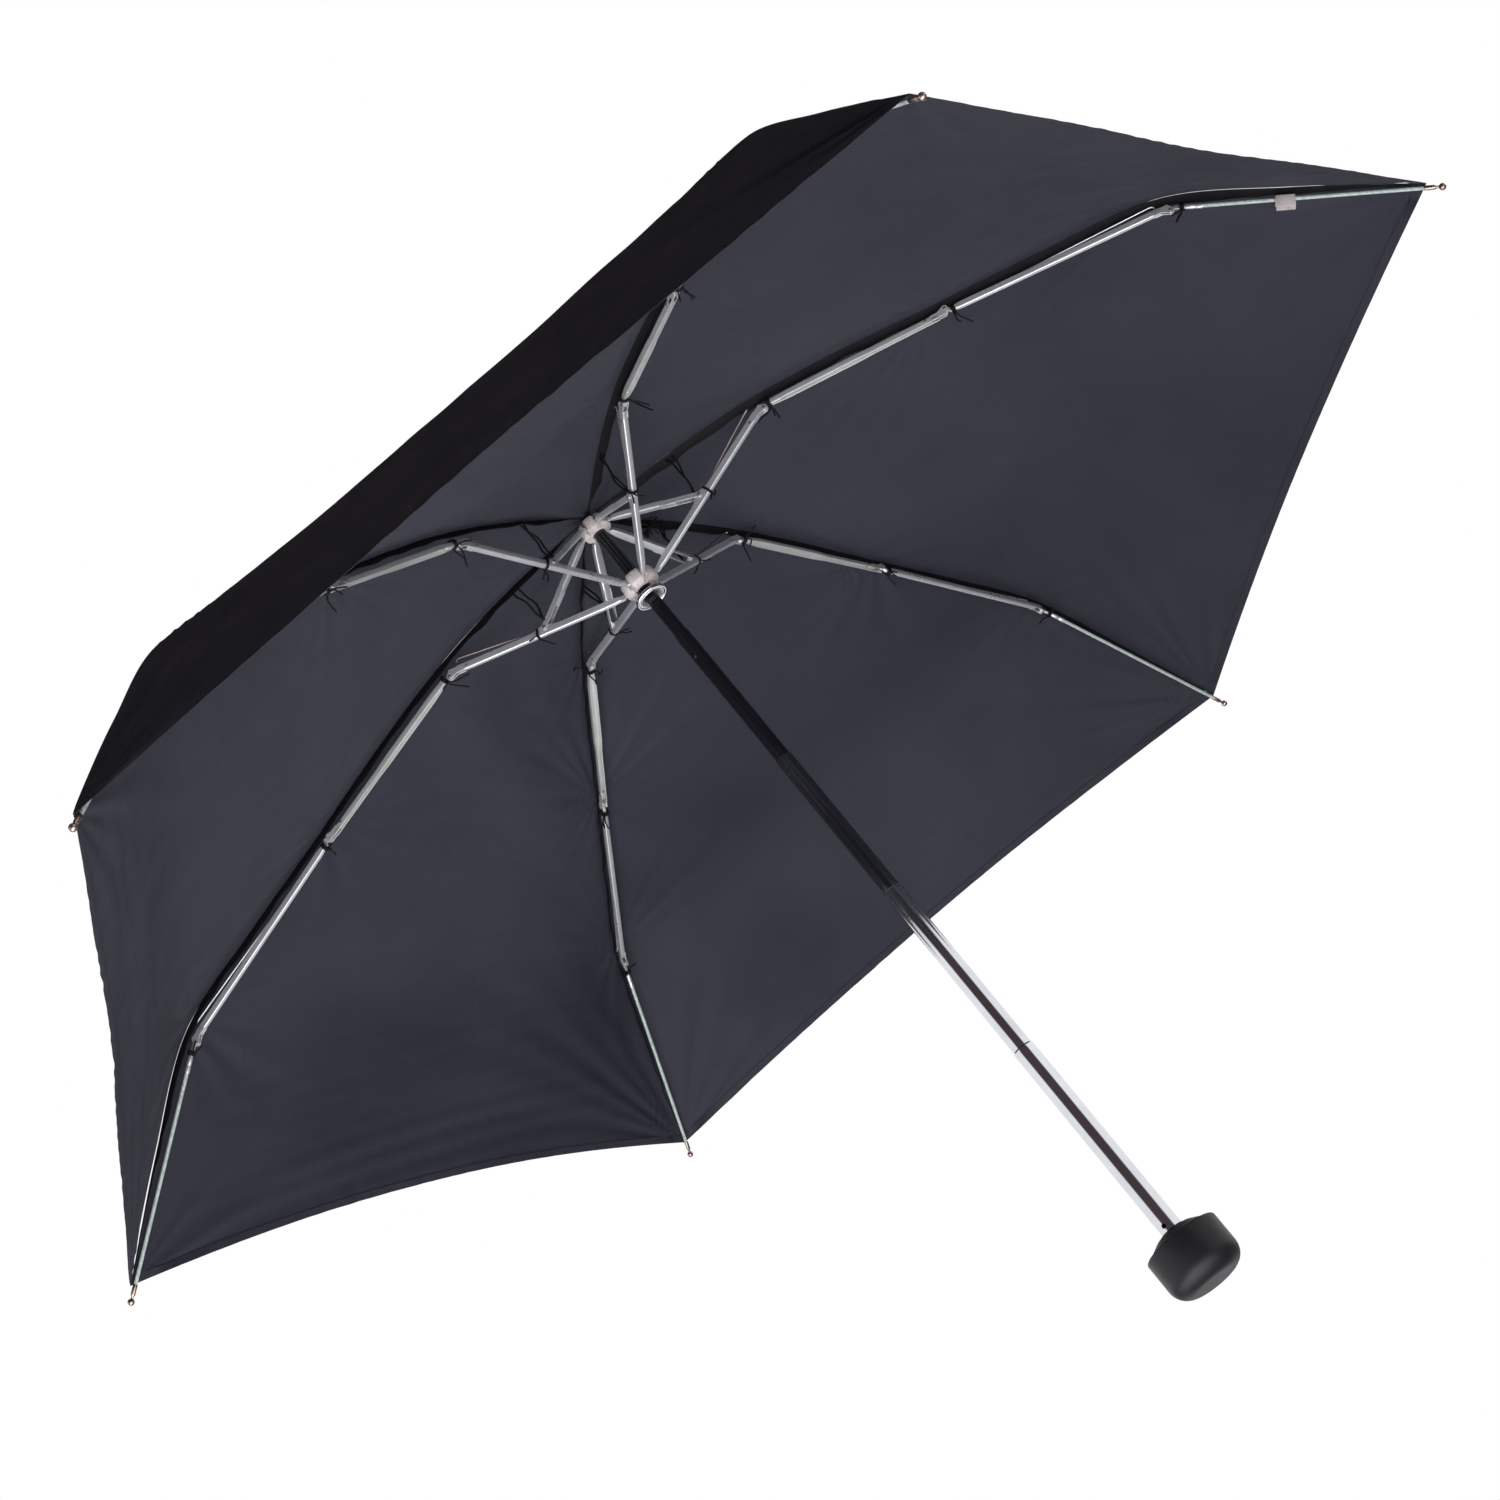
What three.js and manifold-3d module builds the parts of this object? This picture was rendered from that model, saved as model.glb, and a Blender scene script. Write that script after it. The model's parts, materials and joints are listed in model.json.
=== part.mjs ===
// Six-rib compact folding umbrella, standing open with its handle at the bottom.
//
// Millimetres, +Z up along the shaft. The origin is the centre of the handle's flat end. Rib 1 points
// along +X and the others follow every 60 degrees, anticlockwise seen from above.
//
// Every rib is the same chain, drawn in its own radial plane: a stretcher from the runner, two folding
// sections and a fibreglass tip rod, with a top link from the crown that lifts the stretcher.

import * as THREE from 'three';
import { mergeVertices } from 'three/addons/utils/BufferGeometryUtils.js';
import Module from 'manifold-3d';

const wasm = await Module();
wasm.setup();

// ---------------------------------------------------------------- driving dimensions

const RIB_COUNT = 6;

// Shaft: five telescoping tubes, numbered from the crown down to the handle, each one wider.
const TUBE_WALL = 0.35;
const TUBE_OVERLAP = 14;
const TUBE_RADII = [3.7, 4.2, 4.7, 5.2, 5.7];
const TUBE_TOPS = [531, 441, 347, 253, 146];
const TUBE_SIDES = 20;

// Handle: a stubby round knob.
const HANDLE_RADIUS = 20;
const HANDLE_HEIGHT = 30;
const HANDLE_FLAT_RADIUS = 12;
const HANDLE_CORNER = 8;
const HANDLE_SHOULDER_DROP = 4.5;
const CORE_RADIUS = 12;
const CORE_BOTTOM = 4.3;
const CORE_TOP = 24;
const NECK_RADIUS = 7.6;

// Crown and runner: notched plastic hubs, the ribs' ends threaded on a wire ring in each.
const CROWN_HINGE = { r: 7.2, z: 523.7 };
const RUNNER_HINGE = { r: 8.8, z: 480 };
const HINGE_WIRE_RADIUS = 0.45;
const HINGE_GROOVE_RADIUS = 0.65;
const NOTCH_HALF_WIDTH = 1.35;
const CROWN_RADIUS = 8.3;
const RUNNER_RADIUS = 10.4;
const RUNNER_BORE = 6.1;
const RUNNER_FOOT = 468.6;

// Pivots of one rib in its (r, z) plane, from the runner outwards.
const KNEE_1 = { r: 111.6, z: 512 };
const KNEE_2 = { r: 218.4, z: 486 };
const KNEE_3 = { r: 339.6, z: 443 };
const ROD_TIP = { r: 445, z: 352 };

// Where each pivot stands above (+) or below (-) the member that carries it, and the link's hold.
const KNEE_DROP = -3.6;
const KNEE_RISE = 3.8;
const LINK_HOLD = { x: 49, z: 0.8 };

// Sheet-metal members.
const SHEET = 0.4;
const MEMBER_HEIGHT = 3.4;
const EYE_RADIUS = 1.6;
const EYE_HOLE = 0.9;
const PIN_RADIUS = 0.6;
const TONGUE_HALF_WIDTH = 0.9;
const ROD_RADIUS = 1.05;
const ROD_LIFT = 1.5;
const TIP_BALL_RADIUS = 2.3;
const CONTROL_WIRE_RADIUS = 0.45;

// Canopy: the line of the cloth over a rib, and how the gores hang between the ribs.
const CLOTH_LINE = [[6.5, 531.6], [60, 529], [110, 522.2], [164, 508.5], [218.4, 491.6], [280, 473.5],
  [340, 452.8], [392, 407.5], [441, 359.2]];
const CLOTH_THICKNESS = 0.4;
const GORE_SAG = 5;
const HEM_DIP = 0.02;
const GORE_COLUMNS = 6;
const CLOTH_ROWS = 13;

// Small pieces.
const CATCH_RADIUS = 1.3;
const CATCH_FACE = 0.15;
const CATCH_AZIMUTH = THREE.MathUtils.degToRad(-58);
const CLIP_START = 55;
const CLIP_LENGTH = 10;
const CLIP_HALF = 2.45;
const CLIP_FOOT = -3.7;

// ---------------------------------------------------------------- materials

const FINISH = {
  blackTube: { color: 0x0b0b0e, roughness: 0.3, metalness: 0.2 },
  darkChrome: { color: 0x6f7479, roughness: 0.22, metalness: 1 },
  chrome: { color: 0xc9ccd1, roughness: 0.15, metalness: 1 },
  steel: { color: 0xb8bcc2, roughness: 0.28, metalness: 1 },
  channel: { color: 0xb9bcba, roughness: 0.45, metalness: 0.3 },
  copper: { color: 0xa8806c, roughness: 0.35, metalness: 0.9 },
  fibreglass: { color: 0xb9c8c0, roughness: 0.4, metalness: 0 },
  clearPlastic: { color: 0xc4b8b6, roughness: 0.35, metalness: 0 },
  blackPlastic: { color: 0x141416, roughness: 0.6, metalness: 0 },
  softBlack: { color: 0x1a1a1c, roughness: 0.75, metalness: 0 },
  cloth: { color: 0x17171b, roughness: 0.8, metalness: 0 },
};

// ---------------------------------------------------------------- geometry helpers

const AXIS_X = new THREE.Vector3(1, 0, 0);
const AXIS_Y = new THREE.Vector3(0, 1, 0);
const AXIS_Z = new THREE.Vector3(0, 0, 1);

function toManifold(geometry) {
  const bare = geometry.clone();
  bare.deleteAttribute('normal');
  bare.deleteAttribute('uv');
  const merged = mergeVertices(bare, 1e-4);
  return new wasm.Manifold(new wasm.Mesh({
    numProp: 3,
    vertProperties: new Float32Array(merged.attributes.position.array),
    triVerts: new Uint32Array(merged.index.array),
  }));
}

function toGeometry(manifold) {
  const mesh = manifold.getMesh();
  const geometry = new THREE.BufferGeometry();
  geometry.setAttribute('position', new THREE.BufferAttribute(mesh.vertProperties, 3));
  geometry.setIndex(new THREE.BufferAttribute(mesh.triVerts, 1));
  return geometry;
}

function join(...geometries) {
  return geometries.map(toManifold).reduce((whole, piece) => whole.add(piece));
}

function cut(manifold, ...geometries) {
  return geometries.map(toManifold).reduce((whole, piece) => whole.subtract(piece), manifold);
}

// A box given by its lowest and highest corners.
function box([x0, y0, z0], [x1, y1, z1]) {
  const geometry = new THREE.BoxGeometry(x1 - x0, y1 - y0, z1 - z0);
  return geometry.translate((x0 + x1) / 2, (y0 + y1) / 2, (z0 + z1) / 2);
}

// A flat plate with its outline in the member's (x, z) plane, between two sideways positions.
function plate(shape, y0, y1) {
  const geometry = new THREE.ExtrudeGeometry(shape, { depth: y1 - y0, bevelEnabled: false, curveSegments: 8 });
  geometry.applyMatrix4(new THREE.Matrix4().makeBasis(AXIS_X, AXIS_Z, AXIS_Y.clone().negate()));
  return geometry.translate(0, y1, 0);
}

function outline(points) {
  return new THREE.Shape(points.map(([x, y]) => new THREE.Vector2(x, y)));
}

// A pin or a round hole across the member at (x, z).
function crossPin(x, z, radius, halfLength, sides = 8) {
  return new THREE.CylinderGeometry(radius, radius, 2 * halfLength, sides).translate(x, 0, z);
}

// A U-shaped sheet channel along x. It opens away from its web: upwards when webZ is below edgeZ.
function channel(x0, x1, halfWidth, webZ, edgeZ) {
  const inside = halfWidth - SHEET;
  const webTop = webZ + SHEET * Math.sign(edgeZ - webZ);
  const section = outline([[-halfWidth, webZ], [halfWidth, webZ], [halfWidth, edgeZ], [inside, edgeZ],
    [inside, webTop], [-inside, webTop], [-inside, edgeZ], [-halfWidth, edgeZ]]);
  const geometry = new THREE.ExtrudeGeometry(section, { depth: x1 - x0, bevelEnabled: false });
  geometry.applyMatrix4(new THREE.Matrix4().makeBasis(AXIS_Y, AXIS_Z, AXIS_X));
  return geometry.translate(x0, 0, 0);
}

// A solid of revolution about +Z from a profile of [radius, height] points.
function turned(profile, sides) {
  const points = profile.map(([r, z]) => new THREE.Vector2(r, z));
  return new THREE.LatheGeometry(points, sides).rotateX(Math.PI / 2);
}

function ring(innerRadius, outerRadius, bottom, top, sides = TUBE_SIDES) {
  return turned([[innerRadius, bottom], [outerRadius, bottom], [outerRadius, top], [innerRadius, top],
    [innerRadius, bottom]], sides);
}

function wireRing({ r, z }, radius) {
  return new THREE.TorusGeometry(r, radius, 6, 30).translate(0, 0, z);
}

// ---------------------------------------------------------------- rib geometry

// The length and slope of a member whose far pivot stands at offset above its own line.
function member(from, to, offset) {
  const reach = Math.hypot(to.r - from.r, to.z - from.z);
  const length = Math.sqrt(reach * reach - offset * offset);
  const angle = Math.atan2(to.z - from.z, to.r - from.r) - Math.atan2(offset, length);
  return { from, length, angle };
}

const STRETCHER = member(RUNNER_HINGE, KNEE_1, KNEE_DROP);
const SECTION_2 = member(KNEE_1, KNEE_2, KNEE_RISE);
const SECTION_3 = member(KNEE_2, KNEE_3, -KNEE_RISE);
const TIP_ROD = member(KNEE_3, ROD_TIP, ROD_LIFT);

// A point of the rib's plane, given along and above a member's line.
function onMember({ from, angle }, x, z) {
  return {
    r: from.r + x * Math.cos(angle) - z * Math.sin(angle),
    z: from.z + x * Math.sin(angle) + z * Math.cos(angle),
  };
}

const TOP_LINK = member(CROWN_HINGE, onMember(STRETCHER, LINK_HOLD.x, LINK_HOLD.z), 0);

// The tongue that a member turns on: a round eye at the pivot and a neck into its channel.
function tongue(bottom, top, halfWidth, eyeRadius, eyeHole) {
  const neck = outline([[0, -0.8 * eyeRadius], [4, bottom], [11, bottom], [11, top], [4, top], [0, 0.8 * eyeRadius]]);
  const body = join(plate(neck, -halfWidth, halfWidth), crossPin(0, 0, eyeRadius, halfWidth, 12));
  return cut(body, crossPin(0, 0, eyeHole, halfWidth + 1));
}

// The two ears and the pin that hold the next member, at pivot height z above the line.
function ears(length, z, innerHalf, bottom, top) {
  const reach = EYE_RADIUS * 0.9;
  const low = Math.min(bottom, z - reach);
  const high = Math.max(top, z + reach);
  const nearLow = z < bottom ? length - 2 * reach : length;
  const nearHigh = z > top ? length - 2 * reach : length;
  const ear = outline([[length - 9, bottom], [length - 5, bottom], [nearLow, low], [length + reach, low],
    [length + reach, high], [nearHigh, high], [length - 5, top], [length - 9, top]]);
  return join(
    plate(ear, innerHalf, innerHalf + SHEET),
    plate(ear, -innerHalf - SHEET, -innerHalf),
    crossPin(length, z, PIN_RADIUS, innerHalf + SHEET),
  );
}

const STRETCHER_HALF = 1.6;
const SECTION_2_HALF = 1.7;
const SECTION_2_WIDE_HALF = 2.3;
const SECTION_3_HALF = 1.5;
const LINK_HALF = 2.3;
const HUB_EYE_HOLE = 0.75;

function stretcherGeometry() {
  const { length } = STRETCHER;
  const eye = tongue(-MEMBER_HEIGHT, -0.1, 1, 1.4, HUB_EYE_HOLE);
  const body = toManifold(channel(6, length - 5, STRETCHER_HALF, -MEMBER_HEIGHT, 0));
  return toGeometry(body.add(eye).add(ears(length, KNEE_DROP, STRETCHER_HALF - SHEET, -MEMBER_HEIGHT, 0)));
}

function section2Geometry() {
  const { length } = SECTION_2;
  const waist = 0.58 * length;
  const wide = channel(6, waist, SECTION_2_WIDE_HALF, MEMBER_HEIGHT, SHEET);
  const narrow = channel(waist - 0.5, length - 5, SECTION_2_HALF, MEMBER_HEIGHT, SHEET);
  const eye = tongue(SHEET, MEMBER_HEIGHT - 0.1, TONGUE_HALF_WIDTH, EYE_RADIUS, EYE_HOLE);
  const end = ears(length, KNEE_RISE, SECTION_2_HALF - SHEET, SHEET, MEMBER_HEIGHT);
  return toGeometry(join(wide, narrow).add(eye).add(end));
}

function section3Geometry() {
  const { length } = SECTION_3;
  const body = toManifold(channel(6, length - 5, SECTION_3_HALF, -MEMBER_HEIGHT, -SHEET));
  const eye = tongue(-MEMBER_HEIGHT + 0.1, -SHEET, TONGUE_HALF_WIDTH, EYE_RADIUS, EYE_HOLE);
  const end = ears(length, -KNEE_RISE, SECTION_3_HALF - SHEET, -MEMBER_HEIGHT, -SHEET);
  return toGeometry(body.add(eye).add(end));
}

function tipRodGeometry() {
  const { length } = TIP_ROD;
  const eye = tongue(0.3, 2.7, 0.8, 1.5, EYE_HOLE);
  const rod = new THREE.CylinderGeometry(ROD_RADIUS, ROD_RADIUS, length - 8, 8);
  rod.rotateZ(-Math.PI / 2).translate(8 + (length - 8) / 2, 0, ROD_LIFT);
  const ball = new THREE.SphereGeometry(TIP_BALL_RADIUS, 8, 6).translate(length, 0, ROD_LIFT);
  return toGeometry(eye.add(toManifold(rod)).add(toManifold(ball)));
}

function topLinkGeometry() {
  const { length } = TOP_LINK;
  const webEnd = 34;
  const low = -1.3;
  const high = 1.5;
  const leg = outline([[webEnd - 1, low], [length + 1.2, low], [length + 1.8, 0], [length + 1.2, high],
    [webEnd - 1, high]]);
  const body = join(
    channel(6, webEnd, LINK_HALF, low, high),
    plate(leg, LINK_HALF - SHEET, LINK_HALF),
    plate(leg, -LINK_HALF, SHEET - LINK_HALF),
  );
  return toGeometry(body.add(tongue(low, 1, 1, 1.3, HUB_EYE_HOLE)));
}

// ---------------------------------------------------------------- control wires

// A straight wire hinged on its member at start and reaching to end, both given on the member's line.
const STRETCHER_WIRE = { host: STRETCHER, start: { x: 53, z: 0.6 }, end: { x: 102.5, z: 5 } };
const SECTION_WIRE = { host: SECTION_3, start: { x: 13, z: -1 }, end: { x: SECTION_3.length - 7, z: 3.2 } };

function wireMember({ host, start, end }) {
  const from = onMember(host, start.x, start.z);
  return member(from, onMember(host, end.x, end.z), 0);
}

function wireGeometry({ length }) {
  const rod = new THREE.CylinderGeometry(CONTROL_WIRE_RADIUS, CONTROL_WIRE_RADIUS, length, 6);
  return rod.rotateZ(-Math.PI / 2).translate(length / 2, 0, 0);
}

// ---------------------------------------------------------------- hubs, runner and cap

function notches(floorRadius, outerRadius, bottom, top) {
  return Array.from({ length: RIB_COUNT }, (_, rib) => {
    const slot = box([floorRadius, -NOTCH_HALF_WIDTH, bottom], [outerRadius, NOTCH_HALF_WIDTH, top]);
    return slot.rotateZ(rib * 2 * Math.PI / RIB_COUNT);
  });
}

function crownHubGeometry() {
  const bottom = CROWN_HINGE.z - 4.7;
  const top = CROWN_HINGE.z + 4.5;
  const body = turned([[3.95, bottom], [5.4, bottom], [CROWN_RADIUS, bottom + 1.6], [CROWN_RADIUS, top - 1],
    [CROWN_RADIUS - 1, top], [3.95, top], [3.95, bottom]], 24);
  const slots = notches(5.6, CROWN_RADIUS + 2, bottom - 1, top + 1);
  return toGeometry(cut(toManifold(body), ...slots, wireRing(CROWN_HINGE, HINGE_GROOVE_RADIUS)));
}

function runnerHubGeometry() {
  const { z } = RUNNER_HINGE;
  const body = turned([[RUNNER_BORE, RUNNER_FOOT], [7.9, RUNNER_FOOT], [7.9, RUNNER_FOOT + 1.6],
    [7.3, RUNNER_FOOT + 1.6], [7.3, z - 5], [RUNNER_RADIUS - 1.2, z - 4], [RUNNER_RADIUS, z - 2.4],
    [RUNNER_RADIUS, z + 3], [RUNNER_RADIUS - 1, z + 4.4], [RUNNER_BORE, z + 4.4],
    [RUNNER_BORE, RUNNER_FOOT]], 24);
  const slots = notches(7.1, RUNNER_RADIUS + 2, z - 6, z + 6);
  const windows = box([-9, -2.2, RUNNER_FOOT + 2.6], [9, 2.2, z - 6]).rotateZ(Math.PI / 6);
  return toGeometry(cut(toManifold(body), ...slots, windows, wireRing(RUNNER_HINGE, HINGE_GROOVE_RADIUS)));
}

function runnerRingGeometry() {
  return ring(8.2, 9.2, RUNNER_FOOT - 0.2, RUNNER_FOOT + 1.8);
}

function crownCapGeometry() {
  const under = 532;
  return turned([[0, 519], [2.9, 519], [3.05, 520], [3.05, under], [9.5, under], [9.5, under + 1.5],
    [7.5, under + 4], [4.5, under + 5.2], [3.6, under + 8], [2, under + 9], [0, under + 9.2]], 20);
}

// ---------------------------------------------------------------- shaft and handle

// The foot of each tube: tucked inside the next one, and inside the handle for the last.
function tubeFoot(index) {
  return index === TUBE_TOPS.length - 1 ? CORE_BOTTOM + 3 : TUBE_TOPS[index + 1] - TUBE_OVERLAP;
}

// A round hole through one side of a tube's wall.
function wallHole(radius, height, azimuth) {
  const hole = new THREE.CylinderGeometry(radius, radius, 8, 8).rotateZ(Math.PI / 2);
  return hole.translate(6, 0, height).rotateZ(azimuth);
}

function tubeGeometry(index, holes = []) {
  const radius = TUBE_RADII[index];
  const body = toManifold(ring(radius - TUBE_WALL, radius, tubeFoot(index), TUBE_TOPS[index]));
  return toGeometry(cut(body, ...holes));
}

// The face of a catch's spring button, in a hole in the wall of a tube. It is thin, because the next
// smaller tube slides past behind it, and flush, because it slides inside the next larger one.
function catchGeometry(index, height) {
  const outer = TUBE_RADII[index];
  const inner = outer - CATCH_FACE;
  const button = new THREE.CylinderGeometry(CATCH_RADIUS * 0.7, CATCH_RADIUS, outer - inner, 12);
  button.rotateZ(-Math.PI / 2).translate((inner + outer) / 2, 0, height);
  return button.rotateZ(CATCH_AZIMUTH);
}

function gripGeometry() {
  const corner = [];
  const steps = 6;
  for (let step = 0; step <= steps; step += 1) {
    const turn = (step / steps) * Math.PI / 2;
    corner.push([HANDLE_FLAT_RADIUS + HANDLE_CORNER * Math.sin(turn), HANDLE_CORNER * (1 - Math.cos(turn))]);
  }
  const shoulder = HANDLE_HEIGHT - HANDLE_SHOULDER_DROP;
  return turned([[0, 0], ...corner, [HANDLE_RADIUS, shoulder - 2], [HANDLE_RADIUS - 1.2, shoulder],
    [NECK_RADIUS + 2, HANDLE_HEIGHT], [NECK_RADIUS + 0.3, HANDLE_HEIGHT], [NECK_RADIUS + 0.3, CORE_TOP + 0.3],
    [CORE_RADIUS + 0.3, CORE_TOP + 0.3], [CORE_RADIUS + 0.3, CORE_BOTTOM - 0.3], [0, CORE_BOTTOM - 0.3]], 28);
}

function coreGeometry() {
  const bore = TUBE_RADII[4] + 0.25;
  const floor = CORE_BOTTOM + 2.5;
  return turned([[0, CORE_BOTTOM], [CORE_RADIUS, CORE_BOTTOM], [CORE_RADIUS, CORE_TOP], [NECK_RADIUS, CORE_TOP],
    [NECK_RADIUS, HANDLE_HEIGHT + 1], [bore, HANDLE_HEIGHT + 1], [bore, floor], [0, floor]], 24);
}

// ---------------------------------------------------------------- canopy and clip

// A closed sheet: straight between the ribs, with a shallow sag and a hem that dips inwards.
function canopyGeometry() {
  const line = new THREE.CatmullRomCurve3(CLOTH_LINE.map(([r, z]) => new THREE.Vector3(r, 0, z)), false, 'centripetal');
  const columns = RIB_COUNT * GORE_COLUMNS;
  const step = 2 * Math.PI / RIB_COUNT;
  const positions = [];
  for (let row = 0; row <= CLOTH_ROWS; row += 1) {
    const s = row / CLOTH_ROWS;
    for (let column = 0; column < columns; column += 1) {
      const rib = Math.floor(column / GORE_COLUMNS);
      const across = (column % GORE_COLUMNS) / GORE_COLUMNS;
      const bulge = 4 * across * (1 - across);
      const along = s * (1 - HEM_DIP * bulge * s * s);
      const point = line.getPointAt(along);
      const slope = line.getTangentAt(along);
      const left = point.clone().applyAxisAngle(AXIS_Z, rib * step);
      const right = point.clone().applyAxisAngle(AXIS_Z, (rib + 1) * step);
      const sag = new THREE.Vector3(slope.z, 0, -slope.x).applyAxisAngle(AXIS_Z, (rib + 0.5) * step);
      const top = left.lerp(right, across).addScaledVector(sag, GORE_SAG * bulge * Math.sin(Math.PI * s));
      positions.push(top.x, top.y, top.z, top.x, top.y, top.z - CLOTH_THICKNESS);
    }
  }
  const indices = [];
  const at = (row, column, side) => 2 * (row * columns + (column % columns)) + side;
  const quad = (a, b, c, d) => indices.push(a, b, c, a, c, d);
  for (let column = 0; column < columns; column += 1) {
    for (let row = 0; row < CLOTH_ROWS; row += 1) {
      quad(at(row, column, 0), at(row + 1, column, 0), at(row + 1, column + 1, 0), at(row, column + 1, 0));
      quad(at(row, column, 1), at(row, column + 1, 1), at(row + 1, column + 1, 1), at(row + 1, column, 1));
    }
    quad(at(0, column, 0), at(0, column + 1, 0), at(0, column + 1, 1), at(0, column, 1));
    const hem = CLOTH_ROWS;
    quad(at(hem, column, 0), at(hem, column, 1), at(hem, column + 1, 1), at(hem, column + 1, 0));
  }
  const geometry = new THREE.BufferGeometry();
  geometry.setAttribute('position', new THREE.Float32BufferAttribute(positions, 3));
  geometry.setIndex(indices);
  return geometry;
}

// The small plastic clip that sits on the second rib's tip rod. Its legs straddle section 3 when folded.
function rodClipGeometry() {
  const end = CLIP_START + CLIP_LENGTH;
  const body = toManifold(box([CLIP_START, -CLIP_HALF, CLIP_FOOT], [end, CLIP_HALF, ROD_LIFT + 1.8]));
  const bore = new THREE.CylinderGeometry(ROD_RADIUS + 0.25, ROD_RADIUS + 0.25, 3 * CLIP_LENGTH, 10);
  bore.rotateZ(-Math.PI / 2).translate(CLIP_START, 0, ROD_LIFT);
  const innerHalf = CLIP_HALF - 0.6;
  return toGeometry(cut(body, bore, box([CLIP_START - 1, -innerHalf, CLIP_FOOT - 1], [end + 1, innerHalf, -0.4])));
}

// ---------------------------------------------------------------- assembly

const umbrella = new THREE.Group();

function addMesh(parent, name, geometry, finish) {
  const mesh = new THREE.Mesh(geometry, new THREE.MeshStandardMaterial(FINISH[finish]));
  mesh.name = name;
  parent.add(mesh);
  return mesh;
}

const CATCHES = [
  { name: 'upper_catch', tube: 1, height: TUBE_TOPS[1] - 18 },
  { name: 'lower_catch', tube: 3, height: TUBE_TOPS[3] - 19 },
];
const HANDLE_HOLE_AZIMUTH = THREE.MathUtils.degToRad(-28);
const TUBE_FINISHES = ['blackTube', 'blackTube', 'darkChrome', 'chrome', 'chrome'];

TUBE_FINISHES.forEach((finish, index) => {
  const holes = CATCHES.filter(({ tube }) => tube === index)
    .map(({ height }) => wallHole(CATCH_RADIUS + 0.3, height, CATCH_AZIMUTH));
  if (index === TUBE_RADII.length - 1) {
    holes.push(wallHole(1.3, HANDLE_HEIGHT + 5, HANDLE_HOLE_AZIMUTH));
  }
  addMesh(umbrella, `shaft_tube_${index + 1}`, tubeGeometry(index, holes), finish);
});
CATCHES.forEach(({ name, tube, height }) => addMesh(umbrella, name, catchGeometry(tube, height), 'copper'));

addMesh(umbrella, 'handle_grip', gripGeometry(), 'softBlack');
addMesh(umbrella, 'handle_core', coreGeometry(), 'blackPlastic');
addMesh(umbrella, 'crown_hub', crownHubGeometry(), 'clearPlastic');
addMesh(umbrella, 'crown_wire', wireRing(CROWN_HINGE, HINGE_WIRE_RADIUS), 'steel');
addMesh(umbrella, 'crown_cap', crownCapGeometry(), 'blackPlastic');
addMesh(umbrella, 'runner_hub', runnerHubGeometry(), 'clearPlastic');
addMesh(umbrella, 'runner_wire', wireRing(RUNNER_HINGE, HINGE_WIRE_RADIUS), 'steel');
addMesh(umbrella, 'runner_ring', runnerRingGeometry(), 'chrome');
addMesh(umbrella, 'canopy', canopyGeometry(), 'cloth');

const STRETCHER_WIRE_LINE = wireMember(STRETCHER_WIRE);
const SECTION_WIRE_LINE = wireMember(SECTION_WIRE);
const RIB_PIECES = [
  { name: 'top_link', line: TOP_LINK, geometry: topLinkGeometry(), finish: 'steel' },
  { name: 'stretcher', line: STRETCHER, geometry: stretcherGeometry(), finish: 'steel' },
  { name: 'stretcher_wire', line: STRETCHER_WIRE_LINE, geometry: wireGeometry(STRETCHER_WIRE_LINE), finish: 'copper' },
  { name: 'rib_section_2', line: SECTION_2, geometry: section2Geometry(), finish: 'channel' },
  { name: 'rib_section_3', line: SECTION_3, geometry: section3Geometry(), finish: 'steel' },
  { name: 'section_wire', line: SECTION_WIRE_LINE, geometry: wireGeometry(SECTION_WIRE_LINE), finish: 'steel' },
  { name: 'tip_rod', line: TIP_ROD, geometry: tipRodGeometry(), finish: 'fibreglass' },
];

function placeOnLine(mesh, { from, angle }) {
  mesh.position.set(from.r, 0, from.z);
  mesh.rotation.y = -angle;
}

for (let rib = 1; rib <= RIB_COUNT; rib += 1) {
  const ribGroup = new THREE.Group();
  ribGroup.rotation.z = (rib - 1) * 2 * Math.PI / RIB_COUNT;
  umbrella.add(ribGroup);
  for (const { name, line, geometry, finish } of RIB_PIECES) {
    placeOnLine(addMesh(ribGroup, `${name}_${rib}`, geometry, finish), line);
  }
  if (rib === 2) {
    placeOnLine(addMesh(ribGroup, 'rod_clip', rodClipGeometry(), 'clearPlastic'), TIP_ROD);
  }
}

export default umbrella;
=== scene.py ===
"""The looks of a compact folding umbrella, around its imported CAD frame.

Metres, +Z up along the shaft. Ribs stand every 60 degrees, rib 1 along +X. Every rib piece is drawn once
in its member's own frame (x along the member, y sideways, z up) and placed by the hinges of the frame.
"""

import json
import math

import bmesh
import bpy
import numpy as np
from mathutils import Matrix, Vector

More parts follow.
